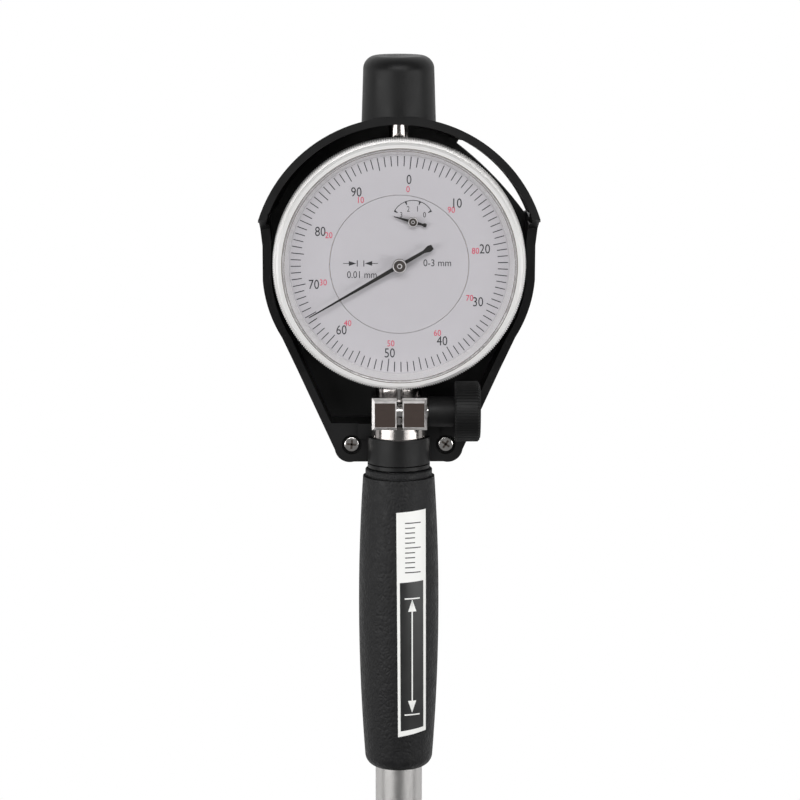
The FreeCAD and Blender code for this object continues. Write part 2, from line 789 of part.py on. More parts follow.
def make_clamp_plate():
    body = new_body("guard_clamp_plate")
    thickness = s.clamp_split_z - s.low_front
    pad(body, draw(body, "XY_Plane", mirrored(foot_outline(s.block_y)), level=-s.clamp_split_z),
        thickness)
    boss_base = [
        (s.boss_radius, -s.boss_start), (s.boss_radius, -s.boss_end),
        (-s.boss_radius, -s.boss_end), (-s.boss_radius, -s.boss_start)]
    pad(body, draw(body, "XY_Plane", boss_base, level=-s.clamp_split_z), s.clamp_split_z)
    boss = draw(body, "YZ_Plane", [
        (-s.boss_start, 0), (-s.boss_end, 0), (-s.boss_end, s.boss_radius),
        (-s.boss_start, s.boss_radius)])
    spin(body, boss, "H_Axis", angle=as_size(180))
    for side in (1, -1):
        raised = draw(body, "XY_Plane", [
            (side * s.pad_inner_x, -s.block_y), (side * s.pad_outer_x, -s.block_y),
            (side * s.pad_outer_x, -s.pad_end), (side * s.pad_inner_x, -s.pad_end)],
            level=-s.clamp_split_z)
        pad(body, raised, thickness + s.pad_height)
    bore = draw(body, "XY_Plane", [
        (0, -s.guard_end - 1.0), (s.sleeve_radius + s.fit_gap, -s.guard_end - 1.0),
        (s.sleeve_radius + s.fit_gap, -s.block_y + 1.0), (0, -s.block_y + 1.0)])
    groove(body, bore)
    spots = ((s.clamp_screw_x, -s.clamp_screw_y), (-s.clamp_screw_x, -s.clamp_screw_y))
    through = [(x, y, s.clamp_screw_shank + s.fit_gap) for x, y in spots]
    cut(body, draw(body, "XY_Plane", *through))
    recess = [(x, y, s.clamp_screw_recess_radius) for x, y in spots]
    cut(body, draw(body, "XY_Plane", *recess, level=-s.low_front - s.clamp_screw_recess_depth),
        s.clamp_screw_recess_depth + 1.0)
    return body


def make_clamp_screws():
    body = new_body("guard_screws")
    spots = ((s.clamp_screw_x, -s.clamp_screw_y), (-s.clamp_screw_x, -s.clamp_screw_y))
    seat = -s.low_front - s.clamp_screw_recess_depth
    foot = -s.clamp_split_z - s.clamp_screw_length + 0.3
    pad(body, draw(body, "XY_Plane", *[(x, y, s.clamp_screw_shank) for x, y in spots], level=foot),
        seat - foot)
    pad(body, draw(body, "XY_Plane", *[(x, y, s.clamp_screw_head_radius) for x, y in spots],
                   level=seat), s.clamp_screw_head_height)
    bevel(body, 0.35, lambda e: e.BoundBox.ZMin > (seat + s.clamp_screw_head_height).number - 0.01,
          "Fillet")
    return body


make_guard()
make_clamp_plate()
make_clamp_screws()

# ---------------------------------------------------------------- clamp sleeve and knob


def make_sleeve():
    body = new_body("clamp_sleeve")
    bore = s.stem_radius + s.fit_gap
    spin(body, draw(body, "XY_Plane", [
        (0, -s.sleeve_top), (0, -s.sleeve_end), (s.sleeve_radius, -s.sleeve_end),
        (s.sleeve_radius, -s.block_y), (s.sleeve_neck_radius, -s.block_y),
        (s.sleeve_neck_radius, -s.sleeve_top)]))
    pad(body, draw(body, "XY_Plane", [
        (-s.lug_half_width, -s.lug_top), (-s.lug_half_width, -s.lug_end),
        (s.lug_half_width, -s.lug_end), (s.lug_half_width, -s.lug_top)]), s.lug_front)
    bevel(body, s.lug_bevel, lambda e: e.BoundBox.ZMin > s.lug_front.number - 0.01)
    groove(body, draw(body, "XY_Plane", [
        (0, -s.sleeve_top + 1.0), (0, -s.sleeve_end - 1.0),
        (s.tube_radius + s.slide_gap, -s.sleeve_end - 1.0),
        (s.tube_radius + s.slide_gap, -s.sleeve_counterbore), (bore, -s.sleeve_counterbore),
        (bore, -s.sleeve_top + 1.0)]))
    half_slit = s.slit_width / 2
    cut(body, draw(body, "XY_Plane", [
        (-half_slit, -s.sleeve_top + 1.0), (-half_slit, -s.slit_end),
        (half_slit, -s.slit_end), (half_slit, -s.sleeve_top + 1.0)]), s.lug_front + 1.0)
    cut(body, draw(body, "YZ_Plane",
                   (-s.clamp_axis_y, s.clamp_axis_z, s.clamp_bolt_radius + s.slide_gap)))
    return body


make_sleeve()

turned("clamp_knob", "XY_Plane", "H_Axis", [
    (s.knob_hub_start, s.clamp_bolt_radius + s.fit_gap), (s.knob_hub_start, s.knob_hub_radius),
    (s.knob_start, s.knob_hub_radius), (s.knob_start, s.knob_radius - s.knob_bevel / 2),
    (s.knob_start + s.knob_bevel / 2, s.knob_radius), (s.knob_end - s.knob_bevel, s.knob_radius),
    (s.knob_end, s.knob_radius - s.knob_bevel), (s.knob_end, 0),
    (s.knob_end - 1.2, 0), (s.knob_end - 1.2, s.clamp_bolt_radius + s.fit_gap)],
    y=-s.clamp_axis_y, z=s.clamp_axis_z)

turned("clamp_screw", "XY_Plane", "H_Axis", [
    (-s.clamp_bolt_end, 0), (-s.clamp_bolt_end, s.clamp_bolt_radius - 0.3),
    (-s.clamp_bolt_end + 0.3, s.clamp_bolt_radius),
    (s.knob_end - 1.2 - s.fit_gap, s.clamp_bolt_radius), (s.knob_end - 1.2 - s.fit_gap, 0)],
    y=-s.clamp_axis_y, z=s.clamp_axis_z)

# ---------------------------------------------------------------- tube, handle, rod

tube_outer = s.tube_radius + s.slide_gap
tube_end = s.measure_y - s.head_top - s.head_neck_length

turned("main_tube", "XY_Plane", "V_Axis", [
    (s.tube_bore_radius, -s.tube_top), (s.tube_bore_radius, -tube_end),
    (s.tube_radius, -tube_end), (s.tube_radius, -s.tube_top)])

turned("neck_collar", "XY_Plane", "V_Axis", [
    (tube_outer, -s.guard_end - s.fit_gap), (tube_outer, -s.guard_end - s.collar_length),
    (s.collar_radius - 0.2, -s.guard_end - s.collar_length),
    (s.collar_radius, -s.guard_end - s.collar_length + 0.2),
    (s.collar_radius, -s.guard_end - 0.2), (s.collar_radius - 0.2, -s.guard_end - s.fit_gap)])

upper_chord = s.handle_middle_y - s.handle_groove_end
upper_rise = s.handle_middle_radius - s.handle_shoulder_radius
lower_chord = s.handle_foot_y - s.handle_middle_y
lower_rise = s.handle_middle_radius - s.handle_foot_radius
upper_arc = (upper_chord * upper_chord + upper_rise * upper_rise) / (2 * upper_rise)
lower_arc = (lower_chord * lower_chord + lower_rise * lower_rise) / (2 * lower_rise)

turned("handle_grip", "XY_Plane", "V_Axis", [
    (tube_outer, -s.handle_start), (tube_outer, -s.handle_end),
    (s.handle_end_radius, -s.handle_end),
    (s.handle_foot_radius, -s.handle_foot_y, s.handle_end_rounding),
    (s.handle_middle_radius, -s.handle_middle_y, lower_arc),
    (s.handle_shoulder_radius, -s.handle_groove_end, upper_arc),
    (s.handle_groove_radius, -s.handle_groove_end),
    (s.handle_groove_radius, -s.handle_ring_end), (s.handle_ring_radius, -s.handle_ring_end),
    (s.handle_ring_radius, -s.handle_start - 0.25), (s.handle_ring_radius - 0.25, -s.handle_start)])

contact_end = s.spindle_bottom + s.contact_length
lever_top = s.measure_y - s.lever_arm - s.lever_end_radius

turned("transfer_rod", "XY_Plane", "V_Axis", [
    (0, -contact_end - s.rod_gap), (0, -lever_top + s.rod_gap),
    (s.rod_radius, -lever_top + s.rod_gap), (s.rod_radius, -contact_end - s.rod_gap)])

turned("rod_guide_bush", "XY_Plane", "V_Axis", [
    (s.rod_radius + s.slide_gap, -s.rod_bush_top),
    (s.rod_radius + s.slide_gap, -s.rod_bush_top - s.rod_bush_length),
    (s.tube_bore_radius - s.fit_gap, -s.rod_bush_top - s.rod_bush_length),
    (s.tube_bore_radius - s.fit_gap, -s.rod_bush_top)])

# ---------------------------------------------------------------- indicator case

case_inner = s.case_radius - s.case_wall
ledge_inner = case_inner - s.ledge_width
cover_screw_circle = (s.case_radius + ledge_inner) / 2


def make_case():
    body = new_body("indicator_case")
    spin(body, draw(body, "XZ_Plane", [
        (ledge_inner, -s.case_back), (s.case_radius, -s.case_back), (s.case_radius, s.case_front),
        (case_inner, s.case_front), (case_inner, s.ledge_level), (ledge_inner, s.ledge_level)]))
    port_start = ledge_inner - 1.0
    port_end = s.case_radius + 1.0
    cut(body, draw(body, "XZ_Plane", (0, 0, s.port_radius), level=port_start), port_end - port_start)
    cut(body, draw(body, "XZ_Plane", (0, 0, s.barrel_port_radius), level=-port_end),
        port_end - port_start)
    back = cut(body, draw(body, "XY_Plane",
                          clockwise(cover_screw_circle, s.cover_screw_angle) + (s.cover_screw_shank + s.fit_gap,),
                          level=-s.case_back - 0.5), s.cover_screw_length + 0.5)
    front = cut(body, draw(body, "XY_Plane",
                           clockwise(s.plate_screw_circle, s.plate_screw_angle) + (s.plate_screw_shank + s.fit_gap,),
                           level=s.ledge_level - s.plate_screw_length), s.plate_screw_length + 0.5)
    repeat_round(body, [back], 4)
    repeat_round(body, [front], 3)
    return body


make_case()


def make_cover():
    body = new_body("back_cover")
    back = s.case_back + s.cover_thickness
    spin(body, draw(body, "XZ_Plane", [
        (0, -back), (s.cover_radius - 0.4, -back), (s.cover_radius, -back + 0.4),
        (s.cover_radius, -s.case_back), (0, -s.case_back)]))
    hole = cut(body, draw(body, "XY_Plane",
                          clockwise(cover_screw_circle, s.cover_screw_angle) + (s.cover_screw_shank + s.fit_gap,),
                          level=-back - 0.5), s.cover_thickness + 1.0)
    repeat_round(body, [hole], 4)
    return body


def make_round_screws(label, circle, count, seat, head_radius, head_height, shank, length, first, up):
    """Small screws in a ring; up is +1 for heads in front of the seat and -1 behind it."""
    body = new_body(label)
    spot = clockwise(circle, first)
    head_level = seat if up > 0 else seat - head_height
    shank_level = seat - length if up > 0 else seat
    head = pad(body, draw(body, "XY_Plane", spot + (head_radius,), level=head_level), head_height)
    stalk = pad(body, draw(body, "XY_Plane", spot + (shank,), level=shank_level), length)
    repeat_round(body, [head, stalk], count)
    return body


make_cover()
make_round_screws("back_screws", cover_screw_circle, 4, -s.case_back - s.cover_thickness,
                  s.cover_screw_head, s.cover_screw_head_height, s.cover_screw_shank,
                  s.cover_screw_length, s.cover_screw_angle, -1)

turned("indicator_stem", "XY_Plane", "V_Axis", [
    (s.spindle_radius + s.slide_gap, -s.stem_spigot_inner),
    (s.spindle_radius + s.slide_gap, -s.stem_end), (s.stem_radius - 0.3, -s.stem_end),
    (s.stem_radius, -s.stem_end + 0.3), (s.stem_radius, -s.case_radius - s.fit_gap),
    (s.port_radius - s.fit_gap, -s.case_radius - s.fit_gap),
    (s.port_radius - s.fit_gap, -s.stem_spigot_inner)])

barrel_bore = s.spindle_upper_radius + s.slide_gap
turned("upper_barrel", "XY_Plane", "V_Axis", [
    (barrel_bore, s.stem_spigot_inner), (s.barrel_port_radius - s.fit_gap, s.stem_spigot_inner),
    (s.barrel_port_radius - s.fit_gap, s.case_radius + s.fit_gap),
    (s.barrel_radius, s.case_radius + s.fit_gap), (s.barrel_radius, s.barrel_top - 0.4),
    (s.barrel_radius - 0.4, s.barrel_top), (0, s.barrel_top),
    (0, s.barrel_top - s.barrel_blind), (barrel_bore, s.barrel_top - s.barrel_blind)])

# ---------------------------------------------------------------- spindle with its rack

rack_module = s.rack_pitch / math.pi
pinion_radius = rack_module * s.rack_pinion_teeth / 2
rack_line = pinion_radius - s.arbor_x
tooth_reach = 0.85
tooth_depth = 1.15
tooth_share = 0.45
flank = math.tan(math.radians(20.0))


def rack_cut_outline():
    """Everything on the left of the rack teeth, as an outline to cut away."""
    tip = rack_line - tooth_reach * rack_module
    foot = rack_line + tooth_depth * rack_module
    half = tooth_share * s.rack_pitch / 2
    tip_half = half - tooth_reach * flank * rack_module
    foot_half = half + tooth_depth * flank * rack_module
    reach = int(s.rack_teeth_each_way.number)
    end = s.rack_pitch * (reach + 0.5)
    corners = [(-s.spindle_radius - 1.0, s.arbor_y - end), (foot, s.arbor_y - end)]
    for step in range(-reach, reach + 1):
        middle = s.arbor_y + step * s.rack_pitch
        corners += [(foot, middle - foot_half), (tip, middle - tip_half),
                    (tip, middle + tip_half), (foot, middle + foot_half)]
    corners += [(foot, s.arbor_y + end), (-s.spindle_radius - 1.0, s.arbor_y + end)]
    return corners


def make_spindle():
    body = new_body("spindle")
    spin(body, draw(body, "XY_Plane", [
        (0, -s.spindle_bottom), (s.spindle_radius, -s.spindle_bottom),
        (s.spindle_radius, s.spindle_upper_start), (s.spindle_upper_radius, s.spindle_upper_start),
        (s.spindle_upper_radius, s.spindle_top), (0, s.spindle_top)]))
    cut(body, draw(body, "XY_Plane", rack_cut_outline()))
    bore = s.contact_shank_radius + s.fit_gap
    groove(body, draw(body, "XY_Plane", [
        (0, -s.spindle_bottom - 1.0), (bore, -s.spindle_bottom - 1.0),
        (bore, -s.spindle_bottom + s.contact_shank_length + s.contact_bore_extra),
        (0, -s.spindle_bottom + s.contact_shank_length + s.contact_bore_extra)]))
    return body


make_spindle()

turned("contact_point", "XY_Plane", "V_Axis", [
    (0, -contact_end), (1.5, -contact_end + 0.8, 1.8),
    (1.5, -contact_end + 1.6), (s.contact_radius, -contact_end + 2.4),
    (s.contact_radius, -s.spindle_bottom), (s.contact_shank_radius, -s.spindle_bottom),
    (s.contact_shank_radius, -s.spindle_bottom + s.contact_shank_length),
    (0, -s.spindle_bottom + s.contact_shank_length)])

# ---------------------------------------------------------------- movement

arbor_spot = (-s.arbor_x, s.arbor_y)
counter_spot = (s.counter_x, s.counter_y)
centre_distance = root(s.arbor_x * s.arbor_x + s.arbor_y * s.arbor_y)
wheel_module = 2 * centre_distance / (s.wheel_teeth + s.centre_pinion_teeth)
takeup_spot = (centre_distance * cosine(s.takeup_angle), -centre_distance * sine(s.takeup_angle))
counter_dx = s.counter_x + s.arbor_x
counter_dy = s.counter_y - s.arbor_y
counter_module = 2 * root(counter_dx * counter_dx + counter_dy * counter_dy) / (
    s.counter_drive_teeth + s.counter_teeth)
base_top = s.ledge_level + s.base_plate_thickness
arbor_hole = s.arbor_radius + s.slide_gap
pivot_hole = s.pivot_radius + s.slide_gap
pillar_spots = ((s.pillar_x, s.pillar_y), (s.pillar_y, s.pillar_x),
                (-s.pillar_x, -s.pillar_y), (-s.pillar_y, -s.pillar_x))
centre_spot = (as_size(0), as_size(0))


def direction(start, end):
    """Angle in degrees, anticlockwise from +X, of the line between two spots."""
    return math.degrees(math.atan2(end[1].number - start[1].number, end[0].number - start[0].number))


def tooth_in_gap(own, own_teeth, other, other_teeth, other_tooth):
    """Angle of a tooth of this gear that lets the other gear's tooth into one of its gaps."""
    offset = other_tooth - direction(other, own)
    gap = direction(own, other) - offset * other_teeth.number / own_teeth.number
    return gap + 180.0 / own_teeth.number


def gear_outline(teeth, module, tooth_angle, steps):
    """Corner points of an involute gear, each flank drawn in a few straight steps."""
    count = int(teeth.number)
    pitch_radius = module.number * count / 2
    base_radius = pitch_radius * math.cos(math.radians(20.0))
    tip_radius = pitch_radius + tooth_reach * module.number
    root_radius = pitch_radius - tooth_depth * module.number
    low = max(base_radius, root_radius)

    def involute(radius):
        ratio = max(radius / base_radius, 1.0)
        return math.sqrt(ratio * ratio - 1) - math.acos(1 / ratio)

    half_pitch_angle = tooth_share * math.pi / count
    flank_points = []
    for step in range(steps + 1):
        radius = low + (tip_radius - low) * step / steps
        turn = half_pitch_angle + involute(pitch_radius) - involute(radius)
        flank_points.append((radius, turn))
    if root_radius < low:
        flank_points.insert(0, (root_radius, flank_points[0][1]))
    points = []
    for tooth in range(count):
        middle = math.radians(tooth_angle) + 2 * math.pi * tooth / count
        for radius, turn in flank_points:
            points.append(Vector(radius * math.cos(middle - turn), radius * math.sin(middle - turn), 0))
        for radius, turn in reversed(flank_points):
            points.append(Vector(radius * math.cos(middle + turn), radius * math.sin(middle + turn), 0))
    return points


def gear(teeth, module, tooth_angle, steps, level, thickness, bore=None):
    points = gear_outline(teeth, module, tooth_angle, steps)
    points = [p + Vector(0, 0, as_size(level).number) for p in points]
    solid = Part.Face(Part.makePolygon(points + points[:1])).extrude(
        Vector(0, 0, as_size(thickness).number))
    if bore is not None:
        low = Vector(0, 0, as_size(level).number - 1)
        solid = solid.cut(Part.makeCylinder(bore.number, as_size(thickness).number + 2, low))
    return solid


def rod_solid(radius, bottom, top):
    bottom, top = as_size(bottom).number, as_size(top).number
    return Part.makeCylinder(radius.number, top - bottom, Vector(0, 0, bottom))


wheel_tooth = direction(arbor_spot, centre_spot)
centre_tooth = tooth_in_gap(centre_spot, s.centre_pinion_teeth, arbor_spot, s.wheel_teeth, wheel_tooth)
takeup_tooth = tooth_in_gap(takeup_spot, s.wheel_teeth, centre_spot, s.centre_pinion_teeth,
                            centre_tooth)
drive_tooth = direction(arbor_spot, counter_spot)
counter_tooth = tooth_in_gap(counter_spot, s.counter_teeth, arbor_spot, s.counter_drive_teeth,
                             drive_tooth)
pinion_tooth = 180.0 / s.rack_pinion_teeth.number
counter_top = s.counter_level + s.counter_thickness

rack_arbor_solid = rod_solid(s.arbor_radius, -s.cock_back, counter_top).fuse(
    gear(s.rack_pinion_teeth, rack_module, pinion_tooth, 3, -s.rack_half_width, 2 * s.rack_half_width))
new_feature("rack_arbor", rack_arbor_solid, *arbor_spot)
new_feature("main_wheel", gear(s.wheel_teeth, wheel_module, wheel_tooth, 1, s.wheel_level,
                               s.wheel_thickness, s.arbor_radius + s.fit_gap), *arbor_spot)
new_feature("counter_drive_gear",
            gear(s.counter_drive_teeth, counter_module, drive_tooth, 1, s.counter_level,
                 s.counter_thickness, s.arbor_radius + s.fit_gap), *arbor_spot)
centre_arbor_solid = rod_solid(s.pivot_radius, s.ledge_level, s.main_hand_hub_top - 0.3).fuse(
    gear(s.centre_pinion_teeth, wheel_module, centre_tooth, 3, s.wheel_level - 0.1,
         s.wheel_thickness + 0.2))
new_feature("centre_arbor", centre_arbor_solid)
counter_solid = gear(s.counter_teeth, counter_module, counter_tooth, 1, s.counter_level,
                     s.counter_thickness).fuse(
    rod_solid(s.pivot_radius, s.bridge_level, s.small_hand_hub_top - 0.2))
new_feature("counter_gear", counter_solid, *counter_spot)
takeup_solid = gear(s.wheel_teeth, wheel_module, takeup_tooth, 1, s.wheel_level,
                    s.wheel_thickness).fuse(
    rod_solid(s.pivot_radius, s.ledge_level, s.bridge_level + s.bridge_thickness))
new_feature("takeup_wheel", takeup_solid, *takeup_spot)


def make_hairspring():
    """Flat spiral strip round the take-up arbor."""
    points_out, points_in = [], []
    steps = 20 * int(s.hairspring_turns.number)
    for step in range(steps + 1):
        turn = 2 * math.pi * step / 20
        radius = s.hairspring_inner.number + s.hairspring_pitch.number * turn / (2 * math.pi)
        ray = Vector(math.cos(turn), math.sin(turn), 0)
        points_in.append(ray * radius)
        points_out.append(ray * (radius + s.hairspring_strip.number))
    outline = points_in + points_out[::-1]
    outline = [p + Vector(0, 0, s.hairspring_level.number) for p in outline]
    return Part.Face(Part.makePolygon(outline + outline[:1])).extrude(
        Vector(0, 0, s.hairspring_height.number))


new_feature("hairspring", make_hairspring(), *takeup_spot)

plate_screw_spots = [clockwise(s.plate_screw_circle, s.plate_screw_angle + 120 * n) for n in range(3)]
disc("movement_base_plate", s.base_plate_radius,
     [(0, 0, pivot_hole), arbor_spot + (arbor_hole,), takeup_spot + (pivot_hole,)]
     + [spot + (s.plate_screw_shank + s.fit_gap,) for spot in plate_screw_spots],
     s.ledge_level, s.base_plate_thickness)
disc("movement_bridge_plate", s.bridge_radius,
     [(0, 0, pivot_hole), arbor_spot + (arbor_hole,), takeup_spot + (pivot_hole,),
      counter_spot + (pivot_hole,)],
     s.bridge_level, s.bridge_thickness)

pillars = new_body("movement_pillars")
pad(pillars, draw(pillars, "XY_Plane", *[spot + (s.pillar_radius,) for spot in pillar_spots],
                  level=base_top), s.bridge_level - base_top)

make_round_screws("base_plate_screws", s.plate_screw_circle, 3, base_top, s.plate_screw_head,
                  s.plate_screw_head_height, s.plate_screw_shank,
                  s.base_plate_thickness + s.plate_screw_length - 0.2, s.plate_screw_angle, 1)


def make_cock():
    """Small bridge behind the rack arbor, standing on two feet under the base plate."""
    body = new_body("rack_cock")
    left, right = -s.cock_left, -s.cock_right
    low, high = s.arbor_y - s.cock_half_length, s.arbor_y + s.cock_half_length
    pad(body, draw(body, "XY_Plane", [(left, low), (right, low), (right, high), (left, high)],
                   level=-s.cock_back), s.cock_thickness)
    feet = [(-s.cock_foot_x, s.arbor_y + side * s.cock_foot_spacing, s.cock_foot_radius)
            for side in (1, -1)]
    pad(body, draw(body, "XY_Plane", *feet, level=-s.cock_back), s.cock_back + s.ledge_level)
    cut(body, draw(body, "XY_Plane", arbor_spot + (arbor_hole,)))
    return body


make_cock()

# ---------------------------------------------------------------- dial and hands

scale_inner = s.centre_dial_radius + s.dial_split

disc("centre_dial", s.centre_dial_radius,
     [(0, 0, s.pivot_radius + 0.4), counter_spot + (s.pivot_radius + 0.3,)],
     s.dial_level, s.dial_thickness)

posts = new_body("dial_posts")
post_top = s.bridge_level + s.bridge_thickness
pad(posts, draw(posts, "XY_Plane",
                *[clockwise(s.dial_post_circle, angle) + (s.dial_post_radius,)
                  for angle in (90, 180, 270)], level=post_top), s.dial_level - post_top)

scale = new_body("scale_ring")
pad(scale, draw(scale, "XY_Plane", (0, 0, s.scale_radius), (0, 0, scale_inner), level=s.dial_level),
    s.dial_thickness)


def make_hand(label, outline, boss, bore, level, angle, spot):
    """Flat hand with a round boss, drawn pointing to +Y, then turned clockwise to its reading."""
    body = new_body(label, *spot)
    body.Placement.Rotation = FreeCAD.Rotation(Vector(0, 0, -1), angle.number)
    bind(body, ".Placement.Rotation.Angle", angle)
    pad(body, draw(body, "XY_Plane", outline, level=level), s.hand_thickness)
    pad(body, draw(body, "XY_Plane", (0, 0, boss), level=level), s.hand_thickness)
    cut(body, draw(body, "XY_Plane", (0, 0, bore)))
    return body


collet_hole = s.hand_collet_radius + s.fit_gap
main_half = s.main_hand_root_width / 2
spade_half = s.main_hand_spade_width / 2
tail = s.main_hand_tail
make_hand("main_pointer", mirrored([
    (main_half * 0.25, s.main_hand_length), (main_half, s.main_hand_boss * 0.8),
    (main_half * 0.9, -s.main_hand_boss), (main_half * 0.75, -tail * 0.74),
    (spade_half, -tail * 0.9), (spade_half * 0.75, -tail)]),
    s.main_hand_boss, collet_hole, s.main_hand_level, s.main_hand_angle, centre_spot)
small_half = s.small_hand_half_width
small_boss = s.small_hand_hub_radius * s.hand_boss_share
small_collet = s.pivot_radius + 0.2
small_tail = s.small_hand_tail
make_hand("small_pointer", mirrored([
    (small_half * 0.3, s.small_hand_length), (small_half, small_boss), (small_half, -small_boss),
    (small_half * 0.8, -small_tail * 0.7), (small_half * 1.5, -small_tail * 0.85),
    (small_half, -small_tail)]),
    small_boss, small_collet + s.fit_gap, s.small_hand_level, 360 - s.small_hand_angle, counter_spot)

hub_bore = s.pivot_radius + s.fit_gap
main_top = s.main_hand_level + s.hand_thickness
turned("main_pointer_hub", "XZ_Plane", "V_Axis", [
    (hub_bore, s.main_hand_level - 0.3), (s.hand_collet_radius, s.main_hand_level - 0.3),
    (s.hand_collet_radius, main_top), (s.main_hand_hub_radius, main_top),
    (s.main_hand_hub_radius, s.main_hand_hub_top - 0.3),
    (s.main_hand_hub_radius - 0.3, s.main_hand_hub_top), (0, s.main_hand_hub_top),
    (0, s.main_hand_hub_top - 0.28), (hub_bore, s.main_hand_hub_top - 0.28)])
small_top = s.small_hand_level + s.hand_thickness
turned("small_pointer_hub", "XZ_Plane", "V_Axis", [
    (hub_bore, s.small_hand_level - 0.2), (small_collet, s.small_hand_level - 0.2),
    (small_collet, small_top), (s.small_hand_hub_radius, small_top),
    (s.small_hand_hub_radius - 0.15, s.small_hand_hub_top), (0, s.small_hand_hub_top),
    (0, s.small_hand_hub_top - 0.18), (hub_bore, s.small_hand_hub_top - 0.18)],
    x=s.counter_x, y=s.counter_y)

# ---------------------------------------------------------------- bezel and crystal

turned("bezel", "XZ_Plane", "V_Axis", [
    (s.case_radius + 2 * s.slide_gap, s.bezel_back), (s.bezel_radius - 0.3, s.bezel_back),
    (s.bezel_radius, s.bezel_back + 0.3), (s.bezel_radius, s.bezel_band_front - 0.3),
    (s.bezel_radius - 0.3, s.bezel_band_front), (s.bezel_front_radius, s.bezel_band_front),
    (s.bezel_front_radius, s.bezel_front - s.bezel_edge),
    (s.bezel_front_radius - s.bezel_edge, s.bezel_front),
    (s.crystal_radius + s.fit_gap, s.bezel_front), (s.crystal_radius + s.fit_gap, s.crystal_seat),
    (s.bezel_cone_radius, s.crystal_seat), (s.bezel_lip_radius, s.dial_top + 0.1),
    (s.scale_radius + s.fit_gap, s.dial_top + 0.1), (s.scale_radius + s.fit_gap, s.dial_level),
    (s.bezel_ledge_radius, s.dial_level), (s.bezel_ledge_radius, s.bezel_ledge_back),
    (s.case_radius + 2 * s.slide_gap, s.bezel_ledge_back)])

dome_edge = s.crystal_radius - 0.6
dome_arc = (dome_edge * dome_edge + s.crystal_rise * s.crystal_rise) / (2 * s.crystal_rise)
turned("crystal", "XZ_Plane", "V_Axis", [
    (0, s.crystal_seat + s.crystal_rise), (dome_edge, s.crystal_seat, -dome_arc),
    (s.crystal_radius, s.crystal_seat), (s.crystal_radius, s.crystal_seat + 0.7),
    (dome_edge, s.crystal_seat + s.crystal_thickness),
    (0, s.crystal_seat + s.crystal_rise + s.crystal_thickness, dome_arc)])

# ---------------------------------------------------------------- measuring head


def make_head():
    """Head block with its lever pocket, rod bore, plunger seat, anvil bore and guide holes."""
    body = new_body("head_body", y=-s.measure_y)
    width, depth, corner = s.head_half_width, s.head_half_depth, s.head_corner
    block = mirrored([
        (width - corner, depth), (width, depth - corner, -corner),
        (width, -depth + corner), (width - corner, -depth, -corner)])
    pad(body, draw(body, "XZ_Plane", block, level=-s.head_top), s.head_top + s.head_bottom)
    collar = s.head_top + s.head_neck_length
    spigot = s.tube_bore_radius - s.fit_gap
    spin(body, draw(body, "XY_Plane", [
        (0, s.head_top - 1.0), (s.head_neck_radius, s.head_top - 1.0),
        (s.head_neck_radius, s.head_top), (s.tube_radius, collar), (spigot, collar),
        (spigot, collar + s.spigot_length), (0, collar + s.spigot_length)]))
    cut(body, draw(body, "XY_Plane", [
        (-s.pocket_left, -s.head_bottom - 1.0), (s.pocket_right, -s.head_bottom - 1.0),
        (s.pocket_right, s.pocket_top), (-s.pocket_left, s.pocket_top)],
        level=-s.pocket_half_depth), 2 * s.pocket_half_depth)
    rod_bore = s.rod_radius + 0.1
    groove(body, draw(body, "XY_Plane", [
        (0, 0), (rod_bore, 0), (rod_bore, collar + s.spigot_length + 1.0),
        (0, collar + s.spigot_length + 1.0)]))
    groove(body, draw(body, "XY_Plane", [
        (0, -s.head_bottom - 1.0), (s.plug_radius + s.fit_gap, -s.head_bottom - 1.0),
        (s.plug_radius + s.fit_gap, -s.head_bottom + s.plug_thickness),
        (0, -s.head_bottom + s.plug_thickness)]))
    groove(body, draw(body, "XY_Plane", [
        (s.bush_start, 0), (s.head_half_width + 1.0, 0),
        (s.head_half_width + 1.0, s.bush_radius + s.fit_gap),
        (s.bush_start, s.bush_radius + s.fit_gap)]), "H_Axis")
    groove(body, draw(body, "XY_Plane", [
        (-s.anvil_start + 0.4, 0), (-s.head_half_width - 1.0, 0),
        (-s.head_half_width - 1.0, s.anvil_radius + s.fit_gap),
        (-s.anvil_start + 0.4, s.anvil_radius + s.fit_gap)]), "H_Axis")
    pin_hole = s.pivot_pin_radius + s.fit_gap / 2
    cut(body, draw(body, "XY_Plane", (s.lever_arm, s.lever_arm, pin_hole)))
    guides = [(0, side * s.guide_pin_offset, s.guide_pin_radius + s.slide_gap) for side in (1, -1)]
    cut(body, draw(body, "YZ_Plane", *guides, level=s.guide_hole_inner),
        s.head_half_width - s.guide_hole_inner + 1.0)
    return body


make_head()

turned("head_end_plug", "XY_Plane", "V_Axis", [
    (0, -s.head_bottom), (s.plug_radius - 0.3, -s.head_bottom),
    (s.plug_radius, -s.head_bottom + 0.3), (s.plug_radius, -s.head_bottom + s.plug_thickness),
    (0, -s.head_bottom + s.plug_thickness)], y=-s.measure_y)


